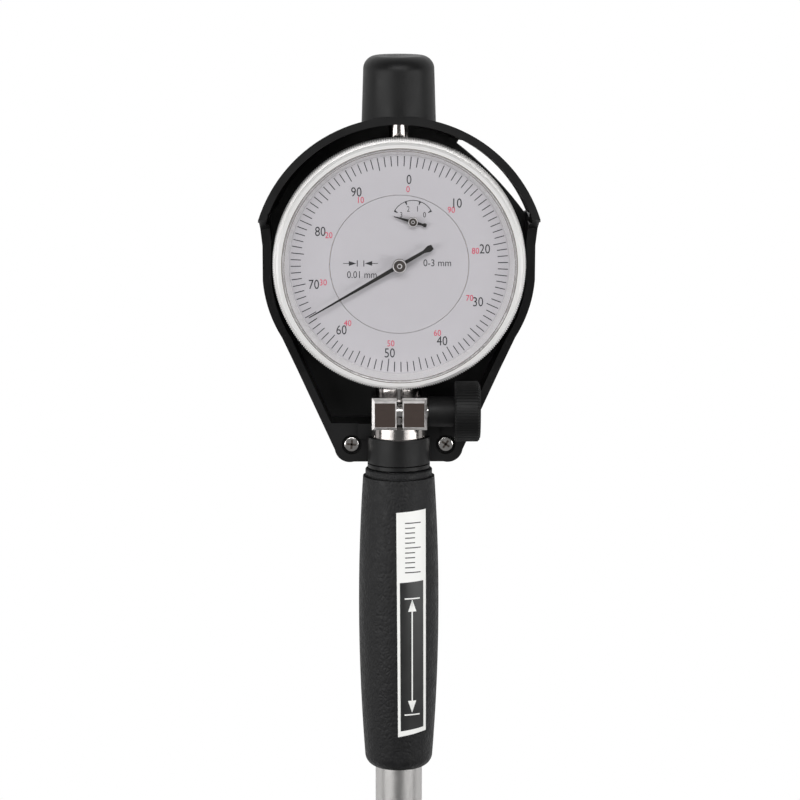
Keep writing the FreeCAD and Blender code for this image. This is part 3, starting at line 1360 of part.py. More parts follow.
def make_lever():
    """Bell crank: one arm behind the plunger, one under the rod, both rounded at the end."""
    body = new_body("bell_crank", x=s.lever_arm, y=-s.measure_y + s.lever_arm)
    half = s.lever_arm_half_width
    low, thick = -s.lever_half_thickness, 2 * s.lever_half_thickness
    pad(body, draw(body, "XY_Plane", (0, 0, s.lever_boss_radius), level=low), thick)
    pad(body, draw(body, "XY_Plane", [
        (-half, 0), (-half, -s.lever_arm), (half, -s.lever_arm), (half, 0)], level=low), thick)
    pad(body, draw(body, "XY_Plane", [
        (0, half), (-s.lever_arm, half), (-s.lever_arm, -half), (0, -half)], level=low), thick)
    pad(body, draw(body, "XY_Plane", (0, -s.lever_arm, s.lever_end_radius),
                   (-s.lever_arm, 0, s.lever_end_radius), level=low), thick)
    cut(body, draw(body, "XY_Plane", (0, 0, s.pivot_pin_radius + s.fit_gap)))
    return body


make_lever()

pin = new_body("pivot_pin", x=s.lever_arm, y=-s.measure_y + s.lever_arm)
pin_half = s.head_half_depth - 0.3
pad(pin, draw(pin, "XY_Plane", (0, 0, s.pivot_pin_radius), level=-pin_half), 2 * pin_half)

nose_end = s.lever_arm + s.lever_end_radius + s.plunger_gap
tip_seat = s.tip_radius + s.fit_gap
turned("measuring_plunger", "XY_Plane", "H_Axis", [
    (nose_end, 0), (nose_end, s.plunger_nose_radius), (s.plunger_shoulder, s.plunger_nose_radius),
    (s.plunger_shoulder, s.plunger_radius), (s.plunger_body_end, s.plunger_radius),
    (s.plunger_body_end + 0.4, s.tip_neck_radius), (s.tip_neck_end, s.tip_neck_radius),
    (s.tip_neck_end, tip_seat), (s.tip_root, tip_seat), (s.tip_root, 0)], y=-s.measure_y)
turned("plunger_tip", "XY_Plane", "H_Axis", [
    (s.tip_root + s.fit_gap, 0), (s.tip_root + s.fit_gap, s.tip_radius),
    (s.tip_reach - s.tip_radius, s.tip_radius), (s.tip_reach, 0, -s.tip_radius)], y=-s.measure_y)
turned("plunger_bush", "XY_Plane", "H_Axis", [
    (s.bush_start, s.plunger_radius + s.slide_gap), (s.bush_start, s.bush_radius),
    (s.head_half_width, s.bush_radius), (s.head_half_width, s.bush_flange_radius),
    (s.bush_end - 0.3, s.bush_flange_radius), (s.bush_end, s.bush_flange_radius - 0.3),
    (s.bush_end, s.plunger_radius + s.slide_gap)], y=-s.measure_y)

anvil_tip_root = s.anvil_reach - s.tip_reach + s.tip_root
anvil_neck_end = s.anvil_reach - s.tip_reach + s.tip_neck_end
turned("anvil_rod", "XY_Plane", "H_Axis", [
    (-s.anvil_start, 0), (-s.anvil_start, s.anvil_radius), (-s.anvil_body_end, s.anvil_radius),
    (-s.anvil_body_end - 0.6, s.tip_neck_radius), (-anvil_neck_end, s.tip_neck_radius),
    (-anvil_neck_end, tip_seat), (-anvil_tip_root, tip_seat), (-anvil_tip_root, 0)],
    y=-s.measure_y)
turned("anvil_tip", "XY_Plane", "H_Axis", [
    (-anvil_tip_root - s.fit_gap, 0), (-anvil_tip_root - s.fit_gap, s.tip_radius),
    (-s.anvil_reach + s.tip_radius, s.tip_radius), (-s.anvil_reach, 0, s.tip_radius)],
    y=-s.measure_y)
washer_end = s.head_half_width + s.washer_thickness
turned("spacer_washer", "XY_Plane", "H_Axis", [
    (-s.head_half_width, s.anvil_radius + s.fit_gap), (-s.head_half_width, s.washer_radius),
    (-washer_end, s.washer_radius), (-washer_end, s.anvil_radius + s.fit_gap)], y=-s.measure_y)
nut_end = washer_end + s.lock_nut_length
turned("anvil_lock_nut", "XY_Plane", "H_Axis", [
    (-washer_end, s.anvil_radius + s.fit_gap), (-washer_end, s.lock_nut_radius - 0.3),
    (-washer_end - 0.3, s.lock_nut_radius), (-nut_end + 0.3, s.lock_nut_radius),
    (-nut_end, s.lock_nut_radius - 0.3), (-nut_end, s.anvil_radius + s.fit_gap)], y=-s.measure_y)

bridge_half_span = s.axis_height
bridge_front = s.bridge_plate_start + s.bridge_plate_thick


def make_centring_bridge():
    body = new_body("centring_bridge", y=-s.measure_y)
    half, span = s.bridge_half_height, bridge_half_span
    shoulder = 2.5
    outline = [
        (half, -span + shoulder), (half, span - shoulder),
        (half - shoulder, span, shoulder), (-half + shoulder, span),
        (-half, span - shoulder, shoulder), (-half, -span + shoulder),
        (-half + shoulder, -span, shoulder), (half - shoulder, -span),
    ]
    outline[0] = outline[0] + (shoulder,)
    holes = [(0, 0, s.bridge_hole_radius)]
    for side in (1, -1):
        holes.append((0, side * s.guide_pin_offset, s.guide_pin_radius + s.fit_gap))
        holes.append((0, side * s.skid_offset, s.skid_radius + s.fit_gap))
    pad(body, draw(body, "YZ_Plane", outline, *holes, level=s.bridge_plate_start),
        s.bridge_plate_thick)
    return body


make_centring_bridge()

pins = new_body("bridge_guide_pins", y=-s.measure_y)
pad(pins, draw(pins, "YZ_Plane", *[(0, side * s.guide_pin_offset, s.guide_pin_radius)
                                   for side in (1, -1)], level=s.guide_pin_inner),
    bridge_front - s.guide_pin_inner)

skids = new_body("bridge_skids", y=-s.measure_y)
skid_length = s.skid_reach - s.bridge_plate_start
pad(skids, draw(skids, "YZ_Plane", *[(0, side * s.skid_offset, s.skid_radius) for side in (1, -1)],
                level=s.bridge_plate_start), skid_length)
bevel(skids, s.skid_radius * 0.8, lambda e: e.BoundBox.XMin > s.skid_reach.number - 0.01, "Fillet")


def make_bridge_springs():
    """Two coil springs behind the guide pins."""
    length = s.guide_pin_inner.number - s.guide_hole_inner.number
    wire = s.spring_wire_radius.number
    height = length - 2 * wire - 0.1
    path = Part.makeHelix(s.spring_pitch.number, height, s.spring_coil_radius.number)
    start = Vector(s.spring_coil_radius.number, 0, 0)
    circle = Part.Wire(Part.makeCircle(wire, start, Vector(0, 1, 0)))
    coil = path.makePipeShell([circle], True, True)
    coil.rotate(Vector(0, 0, 0), Vector(0, 1, 0), 90)
    coil.translate(Vector(s.guide_hole_inner.number + wire + 0.05, 0, 0))
    coils = []
    for side in (1, -1):
        copy = coil.copy()
        copy.translate(Vector(0, 0, side * s.guide_pin_offset.number))
        coils.append(copy)
    return Part.makeCompound(coils)


new_feature("bridge_springs", make_bridge_springs(), y=-s.measure_y)

# ---------------------------------------------------------------- finish

doc.recompute()
os.makedirs("parts", exist_ok=True)
for item in doc.Objects:
    if "Invalid" in item.State or "Error" in item.State:
        raise RuntimeError(f"{item.Name} did not build: {item.State}")
for part in parts:
    if part.Shape.isNull() or not part.Shape.isValid():
        raise RuntimeError(f"{part.Label} has no valid shape")
    part.Shape.exportStep(f"parts/{part.Label}.step")
    box = part.Shape.BoundBox
    print(f"{part.Label:24s} {len(part.Shape.Solids)} {part.Shape.Volume:10.2f} "
          f"x {box.XMin:7.2f} {box.XMax:7.2f} y {box.YMin:8.2f} {box.YMax:7.2f} "
          f"z {box.ZMin:6.2f} {box.ZMax:6.2f}")
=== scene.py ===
import math

import bmesh
import bpy
from mathutils import Matrix, Vector


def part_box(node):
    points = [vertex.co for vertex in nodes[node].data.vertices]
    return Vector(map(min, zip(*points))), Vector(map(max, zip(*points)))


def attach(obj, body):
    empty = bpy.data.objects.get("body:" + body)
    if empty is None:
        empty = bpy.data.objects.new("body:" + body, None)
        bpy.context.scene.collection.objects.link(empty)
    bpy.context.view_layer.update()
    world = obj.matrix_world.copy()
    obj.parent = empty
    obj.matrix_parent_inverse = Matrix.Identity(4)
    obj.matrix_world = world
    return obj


# Looks of the dial bore gauge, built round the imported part.
# Lengths are millimetres in the part's own frame, and MM turns them into metres.
# The lamps alone are placed in metres. Angles on the dial run clockwise from +Y, in degrees.

MM = 0.001

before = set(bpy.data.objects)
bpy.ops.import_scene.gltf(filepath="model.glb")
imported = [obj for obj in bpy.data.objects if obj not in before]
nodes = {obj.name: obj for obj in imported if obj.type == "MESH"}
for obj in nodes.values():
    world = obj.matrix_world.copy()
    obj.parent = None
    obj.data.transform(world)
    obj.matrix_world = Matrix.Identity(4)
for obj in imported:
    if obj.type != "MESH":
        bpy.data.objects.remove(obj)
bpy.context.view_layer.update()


def mm_box(name):
    """Lowest and highest corner of a node, in millimetres."""
    low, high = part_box(name)
    return Vector(low) / MM, Vector(high) / MM


# ---------------------------------------------------------------- places read from the part

tube_low, tube_high = mm_box("main_tube")
AXIS_Z = (tube_low.z + tube_high.z) / 2
SCALE_TOP = mm_box("scale_ring")[1].z
SCALE_RADIUS = mm_box("scale_ring")[1].x
bezel_low, bezel_high = mm_box("bezel")
BEZEL_RADIUS = bezel_high.x
knob_low, knob_high = mm_box("clamp_knob")
counter_low, counter_high = mm_box("small_pointer_hub")
COUNTER_SPOT = Vector(((counter_low.x + counter_high.x) / 2,
                       (counter_low.y + counter_high.y) / 2, 0))
PRINT_LIFT = 0.02
INK_LEVEL = SCALE_TOP + PRINT_LIFT

# ---------------------------------------------------------------- materials

# Noise seldom leaves this range, which is stretched over all that it drives.
NOISE_LOW = 0.3
NOISE_HIGH = 0.7


def shader(name, colour, roughness, metallic=0.0, specular=0.5):
    """Principled material; returns it with its node tree and shader."""
    material = bpy.data.materials.new(name)
    material.use_nodes = True
    tree = material.node_tree
    surface = tree.nodes["Principled BSDF"]
    surface.inputs["Base Color"].default_value = (*colour, 1.0)
    surface.inputs["Roughness"].default_value = roughness
    surface.inputs["Metallic"].default_value = metallic
    surface.inputs["Specular IOR Level"].default_value = specular
    return material, tree, surface


def object_space(tree, stretch=(1, 1, 1)):
    """Object coordinates, optionally stretched, as a texture vector."""
    coords = tree.nodes.new("ShaderNodeTexCoord")
    mapping = tree.nodes.new("ShaderNodeMapping")
    mapping.inputs["Scale"].default_value = stretch
    tree.links.new(coords.outputs["Object"], mapping.inputs["Vector"])
    return mapping.outputs["Vector"]


def noise(tree, vector, scale, detail=3.0):
    """Noise texture on a vector, as a factor."""
    texture = tree.nodes.new("ShaderNodeTexNoise")
    texture.inputs["Scale"].default_value = scale
    texture.inputs["Detail"].default_value = detail
    tree.links.new(vector, texture.inputs["Vector"])
    return texture.outputs["Fac"]


def bump(tree, surface, height, strength, distance):
    """Raise the surface by a height; the distance is in metres."""
    node = tree.nodes.new("ShaderNodeBump")
    node.inputs["Strength"].default_value = strength
    node.inputs["Distance"].default_value = distance
    tree.links.new(height, node.inputs["Height"])
    tree.links.new(node.outputs["Normal"], surface.inputs["Normal"])


def vary(tree, surface, socket, factor, low, high):
    """Drive a shader socket between two values by a factor."""
    ramp = tree.nodes.new("ShaderNodeMapRange")
    ramp.inputs["From Min"].default_value = NOISE_LOW
    ramp.inputs["From Max"].default_value = NOISE_HIGH
    ramp.inputs["To Min"].default_value = low
    ramp.inputs["To Max"].default_value = high
    tree.links.new(factor, ramp.inputs["Value"])
    tree.links.new(ramp.outputs["Result"], surface.inputs[socket])


def tint(tree, surface, factor, dark, light):
    """Mix two colours by a factor into the base colour."""
    mix = tree.nodes.new("ShaderNodeMix")
    mix.data_type = "RGBA"
    mix.inputs["A"].default_value = (*dark, 1.0)
    mix.inputs["B"].default_value = (*light, 1.0)
    tree.links.new(factor, mix.inputs["Factor"])
    tree.links.new(mix.outputs["Result"], surface.inputs["Base Color"])


def moulded_plastic(name, shade=0.006, roughness=0.42, grain=0.05):
    """Near-black plastic with the fine grain of its mould."""
    material, tree, surface = shader(name, (shade, shade, shade * 1.05), roughness, specular=0.2)
    vector = object_space(tree)
    cloud = noise(tree, vector, 160.0)
    vary(tree, surface, "Roughness", cloud, roughness - 0.05, roughness + 0.07)
    tint(tree, surface, cloud, (shade * 0.85,) * 3, (shade * 1.15, shade * 1.15, shade * 1.2))
    bump(tree, surface, noise(tree, vector, 2600.0, 2.0), grain, 0.0001)
    return material


def leather_grain(name):
    """Black grip with small cells and wrinkles, as on leather."""
    material, tree, surface = shader(name, (0.008, 0.008, 0.0085), 0.5, specular=0.22)
    vector = object_space(tree, (1.0, 0.8, 1.0))
    cells = tree.nodes.new("ShaderNodeTexVoronoi")
    cells.feature = "DISTANCE_TO_EDGE"
    cells.inputs["Scale"].default_value = 1100.0
    tree.links.new(vector, cells.inputs["Vector"])
    wrinkle = noise(tree, vector, 700.0, 4.0)
    height = tree.nodes.new("ShaderNodeMath")
    height.operation = "MULTIPLY_ADD"
    height.inputs[1].default_value = 0.8
    tree.links.new(cells.outputs["Distance"], height.inputs[0])
    tree.links.new(wrinkle, height.inputs[2])
    bump(tree, surface, height.outputs[0], 0.55, 0.00035)
    vary(tree, surface, "Roughness", wrinkle, 0.42, 0.6)
    tint(tree, surface, wrinkle, (0.006, 0.006, 0.0065), (0.011, 0.011, 0.0115))
    return material


def metal(name, colour, roughness, stretch=(1, 1, 1), scale=900.0, brush=0.03, spread=0.06):
    """Metal with fine tool marks running along the axis with the smallest stretch."""
    material, tree, surface = shader(name, colour, roughness, metallic=1.0)
    vector = object_space(tree, stretch)
    marks = noise(tree, vector, scale, 4.0)
    vary(tree, surface, "Roughness", marks, max(roughness - spread, 0.02), roughness + spread)
    light = tuple(min(c * 1.04, 1.0) for c in colour)
    tint(tree, surface, marks, tuple(c * 0.94 for c in colour), light)
    bump(tree, surface, marks, brush, 0.00005)
    return material


def turned_metal(name, colour, roughness, spread=0.05):
    """Metal with fine concentric tool marks about the dial axis."""
    material, tree, surface = shader(name, colour, roughness, metallic=0.6)
    coords = tree.nodes.new("ShaderNodeTexCoord")
    split = tree.nodes.new("ShaderNodeSeparateXYZ")
    tree.links.new(coords.outputs["Object"], split.inputs["Vector"])
    flat = tree.nodes.new("ShaderNodeCombineXYZ")
    tree.links.new(split.outputs["X"], flat.inputs["X"])
    tree.links.new(split.outputs["Y"], flat.inputs["Y"])
    reach = tree.nodes.new("ShaderNodeVectorMath")
    reach.operation = "LENGTH"
    tree.links.new(flat.outputs["Vector"], reach.inputs[0])
    rings = tree.nodes.new("ShaderNodeCombineXYZ")
    tree.links.new(reach.outputs["Value"], rings.inputs["X"])
    tree.links.new(split.outputs["Z"], rings.inputs["Z"])
    marks = noise(tree, rings.outputs["Vector"], 5000.0, 2.0)
    vary(tree, surface, "Roughness", marks, roughness - spread, roughness + spread)
    light = tuple(min(c * 1.04, 1.0) for c in colour)
    tint(tree, surface, marks, tuple(c * 0.95 for c in colour), light)
    return material


def paint(name, colour, roughness=0.45, spread=0.04):
    """Even paint or ink with a faint cloud in its colour and gloss."""
    material, tree, surface = shader(name, colour, roughness)
    cloud = noise(tree, object_space(tree), 300.0)
    vary(tree, surface, "Roughness", cloud, roughness - 0.05, roughness + 0.05)
    tint(tree, surface, cloud, tuple(c * (1 - spread) for c in colour),
         tuple(min(c * (1 + spread), 1.0) for c in colour))
    return material


def clear_crystal(name):
    """Thin clear plastic: mostly see-through with a faint gloss."""
    material = bpy.data.materials.new(name)
    material.use_nodes = True
    tree = material.node_tree
    tree.nodes.remove(tree.nodes["Principled BSDF"])
    output = tree.nodes["Material Output"]
    clear = tree.nodes.new("ShaderNodeBsdfTransparent")
    clear.inputs["Color"].default_value = (0.985, 0.985, 0.99, 1.0)
    gloss = tree.nodes.new("ShaderNodeBsdfGlossy")
    gloss.inputs["Roughness"].default_value = 0.12
    gloss.inputs["Color"].default_value = (1.0, 1.0, 1.0, 1.0)
    edge = tree.nodes.new("ShaderNodeFresnel")
    edge.inputs["IOR"].default_value = 1.16
    mix = tree.nodes.new("ShaderNodeMixShader")
    tree.links.new(edge.outputs["Fac"], mix.inputs["Fac"])
    tree.links.new(clear.outputs["BSDF"], mix.inputs[1])
    tree.links.new(gloss.outputs["BSDF"], mix.inputs[2])
    tree.links.new(mix.outputs["Shader"], output.inputs["Surface"])
    return material


BLACK = moulded_plastic("black_moulding")
KNOB_BLACK = moulded_plastic("knob_plastic", 0.005, 0.5, 0.08)
COLLAR_BLACK = moulded_plastic("collar_plastic", 0.005, 0.35, 0.02)
GRIP = leather_grain("grip_leather")
CHROME = metal("bright_chrome", (0.72, 0.70, 0.69), 0.16, brush=0.0, spread=0.03)
# Painted dark reflection: the lugs' chrome face darkened, with a real brushed grain.
LUG_DARK_REFLECTION = metal("lug_face_painted_reflection", (0.075, 0.058, 0.052), 0.5, (1, 14, 1), 500.0, 0.1)
SATIN = metal("satin_tube", (0.50, 0.49, 0.48), 0.34, (1.0, 6.0, 1.0), 900.0, 0.06)
BEZEL_METAL = turned_metal("bezel_silver", (0.88, 0.87, 0.86), 0.36)
CASE_METAL = metal("case_silver", (0.62, 0.61, 0.60), 0.3)
STEEL = metal("ground_steel", (0.52, 0.52, 0.53), 0.3)
# Painted shade: a darkened copy of the chrome, standing for the dark reflections on the clamp
# sleeve and upper barrel.
SHADED_CHROME = metal("chrome_painted_shade", (0.30, 0.28, 0.27), 0.16, brush=0.0, spread=0.03)
# Painted highlight: chrome brightened for light caught on bevels and rims.
HIGHLIGHT_CHROME = metal("chrome_painted_highlight", (0.95, 0.92, 0.91), 0.35, brush=0.0)
SEAM = paint("seam_brown", (0.10, 0.075, 0.06), 0.5)
# Painted shade for the cross recesses of the screw heads.
RECESS_SHADE = metal("recess_painted_shade", (0.10, 0.085, 0.075), 0.4)
CARBIDE = metal("carbide", (0.25, 0.25, 0.27), 0.16)
BRASS = metal("gear_brass", (0.72, 0.52, 0.22), 0.3)
SCREW = metal("screw_chrome", (0.75, 0.73, 0.71), 0.16, brush=0.02)
HEAD_STEEL = metal("head_satin", (0.6, 0.6, 0.6), 0.32, (1, 6, 1))
DIAL = paint("dial_white", (0.48, 0.465, 0.48), 0.5, 0.01)
INK = paint("ink_black", (0.016, 0.016, 0.018), 0.5)
RED_INK = paint("ink_red", (0.60, 0.035, 0.09), 0.5)
HAND = paint("hand_black", (0.012, 0.011, 0.010), 0.35)
HUB = metal("hub_dark", (0.13, 0.115, 0.105), 0.35)
LABEL_WHITE = paint("label_white", (0.78, 0.78, 0.76), 0.4, 0.02)
LABEL_BLACK = paint("label_black", (0.012, 0.012, 0.012), 0.35)
CRYSTAL = clear_crystal("crystal_clear")

LOOKS = {
    BLACK: ("guard_shell", "guard_clamp_plate"),
    KNOB_BLACK: ("clamp_knob",),
    COLLAR_BLACK: ("neck_collar",),
    GRIP: ("handle_grip",),
    SHADED_CHROME: ("clamp_sleeve", "upper_barrel"),
    CHROME: ("indicator_stem", "clamp_screw", "spindle"),
    SATIN: ("main_tube",),
    BEZEL_METAL: ("bezel",),
    CASE_METAL: ("indicator_case", "back_cover"),
    STEEL: ("contact_point", "transfer_rod", "pivot_pin", "bell_crank", "measuring_plunger",
            "anvil_rod", "spacer_washer", "bridge_guide_pins", "bridge_skids", "rack_arbor",
            "centre_arbor", "bridge_springs", "hairspring", "plunger_bush"),
    CARBIDE: ("plunger_tip", "anvil_tip"),
    BRASS: ("main_wheel", "counter_drive_gear", "counter_gear", "takeup_wheel",
            "movement_base_plate", "movement_bridge_plate", "movement_pillars", "rack_cock",
            "rod_guide_bush", "dial_posts"),
    SCREW: ("guard_screws", "back_screws", "base_plate_screws"),
    HEAD_STEEL: ("head_body", "head_end_plug", "centring_bridge", "anvil_lock_nut"),
    DIAL: ("scale_ring", "centre_dial"),
    HAND: ("main_pointer", "small_pointer"),
    HUB: ("main_pointer_hub", "small_pointer_hub"),
    CRYSTAL: ("crystal",),
}

for look, names in LOOKS.items():
    for name in names:
        slots = nodes[name].data.materials
        slots.clear()
        slots.append(look)

# ---------------------------------------------------------------- building pieces


def piece(name, points, faces, material, body, smooth=False):
    """Mesh piece from points in millimetres, riding on a body."""
    mesh = bpy.data.meshes.new(name)
    mesh.from_pydata([Vector(p) * MM for p in points], [], faces)
    mesh.update()
    for polygon in mesh.polygons:
        polygon.use_smooth = smooth
    mesh.materials.append(material)
    thing = bpy.data.objects.new(name, mesh)
    bpy.context.scene.collection.objects.link(thing)
    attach(thing, body)
    return thing


def clockwise(radius, degrees):
    """Point on the dial at an angle counted clockwise from +Y."""
    turn = math.radians(degrees)
    return Vector((radius * math.sin(turn), radius * math.cos(turn), 0))


class Marks:
    """Collects flat polygons for one printed piece."""

    def __init__(self, level):
        self.level = level
        self.points = []
        self.faces = []

    def polygon(self, corners):
        """Add one flat polygon, turned to face up."""
        pairs = zip(corners, corners[1:] + corners[:1])
        area = sum(a[0] * b[1] - b[0] * a[1] for a, b in pairs)
        if area < 0:
            corners = corners[::-1]
        first = len(self.points)
        self.points += [(c[0], c[1], self.level) for c in corners]
        self.faces.append(tuple(range(first, first + len(corners))))

    def line(self, start, end, width, end_width=None):
        """Add a straight stroke, tapered where its end has a width of its own."""
        start, end = Vector((*start[:2], 0)), Vector((*end[:2], 0))
        along = (end - start).normalized()
        side = Vector((-along.y, along.x, 0))
        if end_width is None:
            end_width = width
        a, b = side * width / 2, side * end_width / 2
        self.polygon([start - a, end - b, end + b, start + a])

    def arc(self, centre, radius, first, last, width, steps):
        """Thin band between two clockwise angles."""
        for step in range(steps):
            low = first + (last - first) * step / steps
            high = first + (last - first) * (step + 1) / steps
            self.polygon([centre + clockwise(radius - width / 2, low),
                          centre + clockwise(radius + width / 2, low),
                          centre + clockwise(radius + width / 2, high),
                          centre + clockwise(radius - width / 2, high)])

    def text(self, words, height, spot, narrow):
        """Add upright figures centred on a spot."""
        curve = bpy.data.curves.new("figure", "FONT")
        curve.body = words
        curve.align_x = "CENTER"
        curve.align_y = "CENTER"
        curve.size = 1.0
        curve.resolution_u = 3
        holder = bpy.data.objects.new("figure", curve)
        bpy.context.scene.collection.objects.link(holder)
        bpy.context.view_layer.update()
        mesh = bpy.data.meshes.new_from_object(holder)
        across = [v.co.x for v in mesh.vertices]
        upward = [v.co.y for v in mesh.vertices]
        centre = (max(across) + min(across)) / 2
        middle = (max(upward) + min(upward)) / 2
        scale = height / (max(upward) - min(upward))
        first = len(self.points)
        for vertex in mesh.vertices:
            x = (vertex.co.x - centre) * scale * narrow
            y = (vertex.co.y - middle) * scale
            self.points.append((spot[0] + x, spot[1] + y, self.level))
        self.faces += [tuple(first + i for i in polygon.vertices) for polygon in mesh.polygons]
        bpy.data.objects.remove(holder)
        bpy.data.meshes.remove(mesh)
        bpy.data.curves.remove(curve)

    def build(self, name, material, body):
        """Make the piece, with every face up."""
        thing = piece(name, self.points, self.faces, material, body)
        mesh = bmesh.new()
        mesh.from_mesh(thing.data)
        for face in mesh.faces:
            face.normal_update()
            if face.normal.z < 0:
                face.normal_flip()
        mesh.to_mesh(thing.data)
        mesh.free()


# ---------------------------------------------------------------- dial print

ZERO_ANGLE = 6.3
DIVISION = 3.6
TICK_OUTER = SCALE_RADIUS - 0.54
SHORT_TICK = 2.3
LONG_TICK = 2.9
TICK_WIDTH = 0.2
FIGURE_RADIUS = 21.1
FIGURE_HEIGHT = 2.15
RED_RADIUS = 18.48
RED_HEIGHT = 1.4
FIGURE_DROP = Vector((0.0, -0.5, 0.0))
FIGURE_HALF_WIDTH = 0.26  # of one figure, as a share of its height


def figure_spot(words, radius, height, angle):
    """Middle of an upright figure whose outer edge keeps to a circle."""
    across = abs(math.sin(math.radians(angle))) * height * FIGURE_HALF_WIDTH * len(words)
    along = abs(math.cos(math.radians(angle))) * height * 0.5
    return clockwise(radius - across - along, angle) + FIGURE_DROP


ticks = Marks(INK_LEVEL)
for index in range(100):
    angle = ZERO_ANGLE + DIVISION * index
    length = LONG_TICK if index % 5 == 0 else SHORT_TICK
    ticks.line(clockwise(TICK_OUTER, angle), clockwise(TICK_OUTER - length, angle), TICK_WIDTH)
for value in range(0, 100, 10):
    angle = ZERO_ANGLE + DIVISION * value
    words = str(value)
    spot = figure_spot(words, FIGURE_RADIUS, FIGURE_HEIGHT, angle)
    ticks.text(words, FIGURE_HEIGHT, spot, narrow=0.82)
ticks.build("scale_print_black", INK, "bezel_set")

red = Marks(INK_LEVEL)
for value in range(0, 100, 10):
    angle = ZERO_ANGLE + DIVISION * value
    words = str((100 - value) % 100)
    red.text(words, RED_HEIGHT, figure_spot(words, RED_RADIUS, RED_HEIGHT, angle), narrow=0.88)
red.build("scale_print_red", RED_INK, "bezel_set")

COUNT_RADIUS = 4.8
COUNT_BAND = 0.16
COUNT_ANGLES = (-60, -20, 20, 60)
COUNT_TICK_OUT = 0.05
COUNT_TICK_IN = 0.85
COUNT_FIGURE_IN = 1.75
COUNT_FIGURE_HEIGHT = 1.25
ARROWS_X = -8.8
ARROWS_Y = 0.25
ARROW_GAP = 0.75
ARROW_LENGTH = 3.2
ARROW_BAR = 0.7
HEAD_START = 0.2
HEAD_END = 1.9
HEAD_HALF = 0.55
UNIT_HEIGHT = 1.6

centre = Marks(INK_LEVEL)
centre.arc(COUNTER_SPOT, COUNT_RADIUS, COUNT_ANGLES[0], COUNT_ANGLES[-1], COUNT_BAND, 24)
for index, angle in enumerate(COUNT_ANGLES):
    centre.line(COUNTER_SPOT + clockwise(COUNT_RADIUS + COUNT_TICK_OUT, angle),
                COUNTER_SPOT + clockwise(COUNT_RADIUS - COUNT_TICK_IN, angle), 0.5, 0.12)
    centre.text(str(3 - index), COUNT_FIGURE_HEIGHT,
                COUNTER_SPOT + clockwise(COUNT_RADIUS - COUNT_FIGURE_IN, angle), narrow=0.8)
for side in (-1, 1):
    tip = Vector((ARROWS_X + side * ARROW_GAP, ARROWS_Y, 0))
    tail = tip + Vector((side * ARROW_LENGTH, 0, 0))
    centre.line(tip + Vector((0, -ARROW_BAR, 0)), tip + Vector((0, ARROW_BAR, 0)), 0.2)
    centre.polygon([tip + Vector((side * HEAD_START, 0, 0)),
                    tip + Vector((side * HEAD_END, HEAD_HALF, 0)),
                    tip + Vector((side * HEAD_END, -HEAD_HALF, 0))])
    centre.line(tip + Vector((side * 1.8, 0, 0)), tail, 0.14)
centre.text("0.01 mm", UNIT_HEIGHT, (-8.5, -2.3), narrow=0.85)
centre.text("0-3 mm", UNIT_HEIGHT, (8.6, 0.35), narrow=0.9)
centre.build("centre_print", INK, "gauge")

# ---------------------------------------------------------------- knurls


def ribbed_band(name, axis_points, count, low, high, share, material, body, to_world):
    """Ring of fine ribs between a low and a high radius.

    axis_points holds, for each edge of the band, its place along the axis and what it adds
    to both radii. share is the part of a rib's pitch over which it rises or falls.
    """
    points, faces = [], []
    per_rib = 4
    rows = len(axis_points)
    for along, base in axis_points:
        for index in range(count):
            for part, radius in ((0.0, low), (share, high), (0.5, high), (0.5 + share, low)):
                turn = 2 * math.pi * (index + part) / count
                points.append(to_world(along, base + radius, turn))
    ring = count * per_rib
    for row in range(rows - 1):
        for index in range(ring):
            follow = (index + 1) % ring
            faces.append((row * ring + index, row * ring + follow,
                          (row + 1) * ring + follow, (row + 1) * ring + index))
    thing = piece(name, points, faces, material, body)
    mesh = bmesh.new()
    mesh.from_mesh(thing.data)
    bmesh.ops.recalc_face_normals(mesh, faces=mesh.faces)
    mesh.to_mesh(thing.data)
    mesh.free()


def about_dial(along, radius, turn):
    """Point about the dial's axis."""
    return (radius * math.cos(turn), radius * math.sin(turn), along)


BAND_BACK = bezel_low.z + 0.3
BAND_FRONT = bezel_low.z + 4.0
BAND_EDGE = BAND_FRONT - 0.25
BAND_FACE = BAND_FRONT + 0.02
BAND_ROOT = -0.5
BAND_BEVEL = -0.28
BAND_LIP = -0.7
RIB_COUNT = 340
RIB_LOW = BEZEL_RADIUS - 0.02
RIB_HIGH = BEZEL_RADIUS + 0.24
ribbed_band("bezel_knurl",
            [(BAND_BACK, BAND_ROOT), (BAND_BACK, 0.0), (BAND_EDGE, 0.0),
             (BAND_FACE, BAND_BEVEL), (BAND_FACE, BAND_LIP)],
            RIB_COUNT, RIB_LOW, RIB_HIGH, 0.2, BEZEL_METAL, "bezel_set",
            about_dial)

KNOB_Y = (knob_low.y + knob_high.y) / 2
KNOB_Z = (knob_low.z + knob_high.z) / 2
KNOB_RADIUS = (knob_high.y - knob_low.y) / 2
KNOB_START = 12.6
KNOB_EDGE = knob_high.x - 0.6
KNOB_FACE = knob_high.x - 0.2
KNOB_BEVEL = 0.25
KNOB_RIB_COUNT = 56


def about_knob(along, radius, turn):
    """Point about the clamp knob's axis."""
    return (along, KNOB_Y + radius * math.cos(turn), KNOB_Z + radius * math.sin(turn))


ribbed_band("knob_ribs",
            [(KNOB_START, -0.5), (KNOB_START, -KNOB_BEVEL), (KNOB_START + KNOB_BEVEL, 0.0),
             (KNOB_EDGE, 0.0), (KNOB_FACE, -0.35), (KNOB_FACE, -0.8)],
            KNOB_RIB_COUNT, KNOB_RADIUS - 0.15, KNOB_RADIUS + 0.16, 0.16, KNOB_BLACK, "knob",
            about_knob)
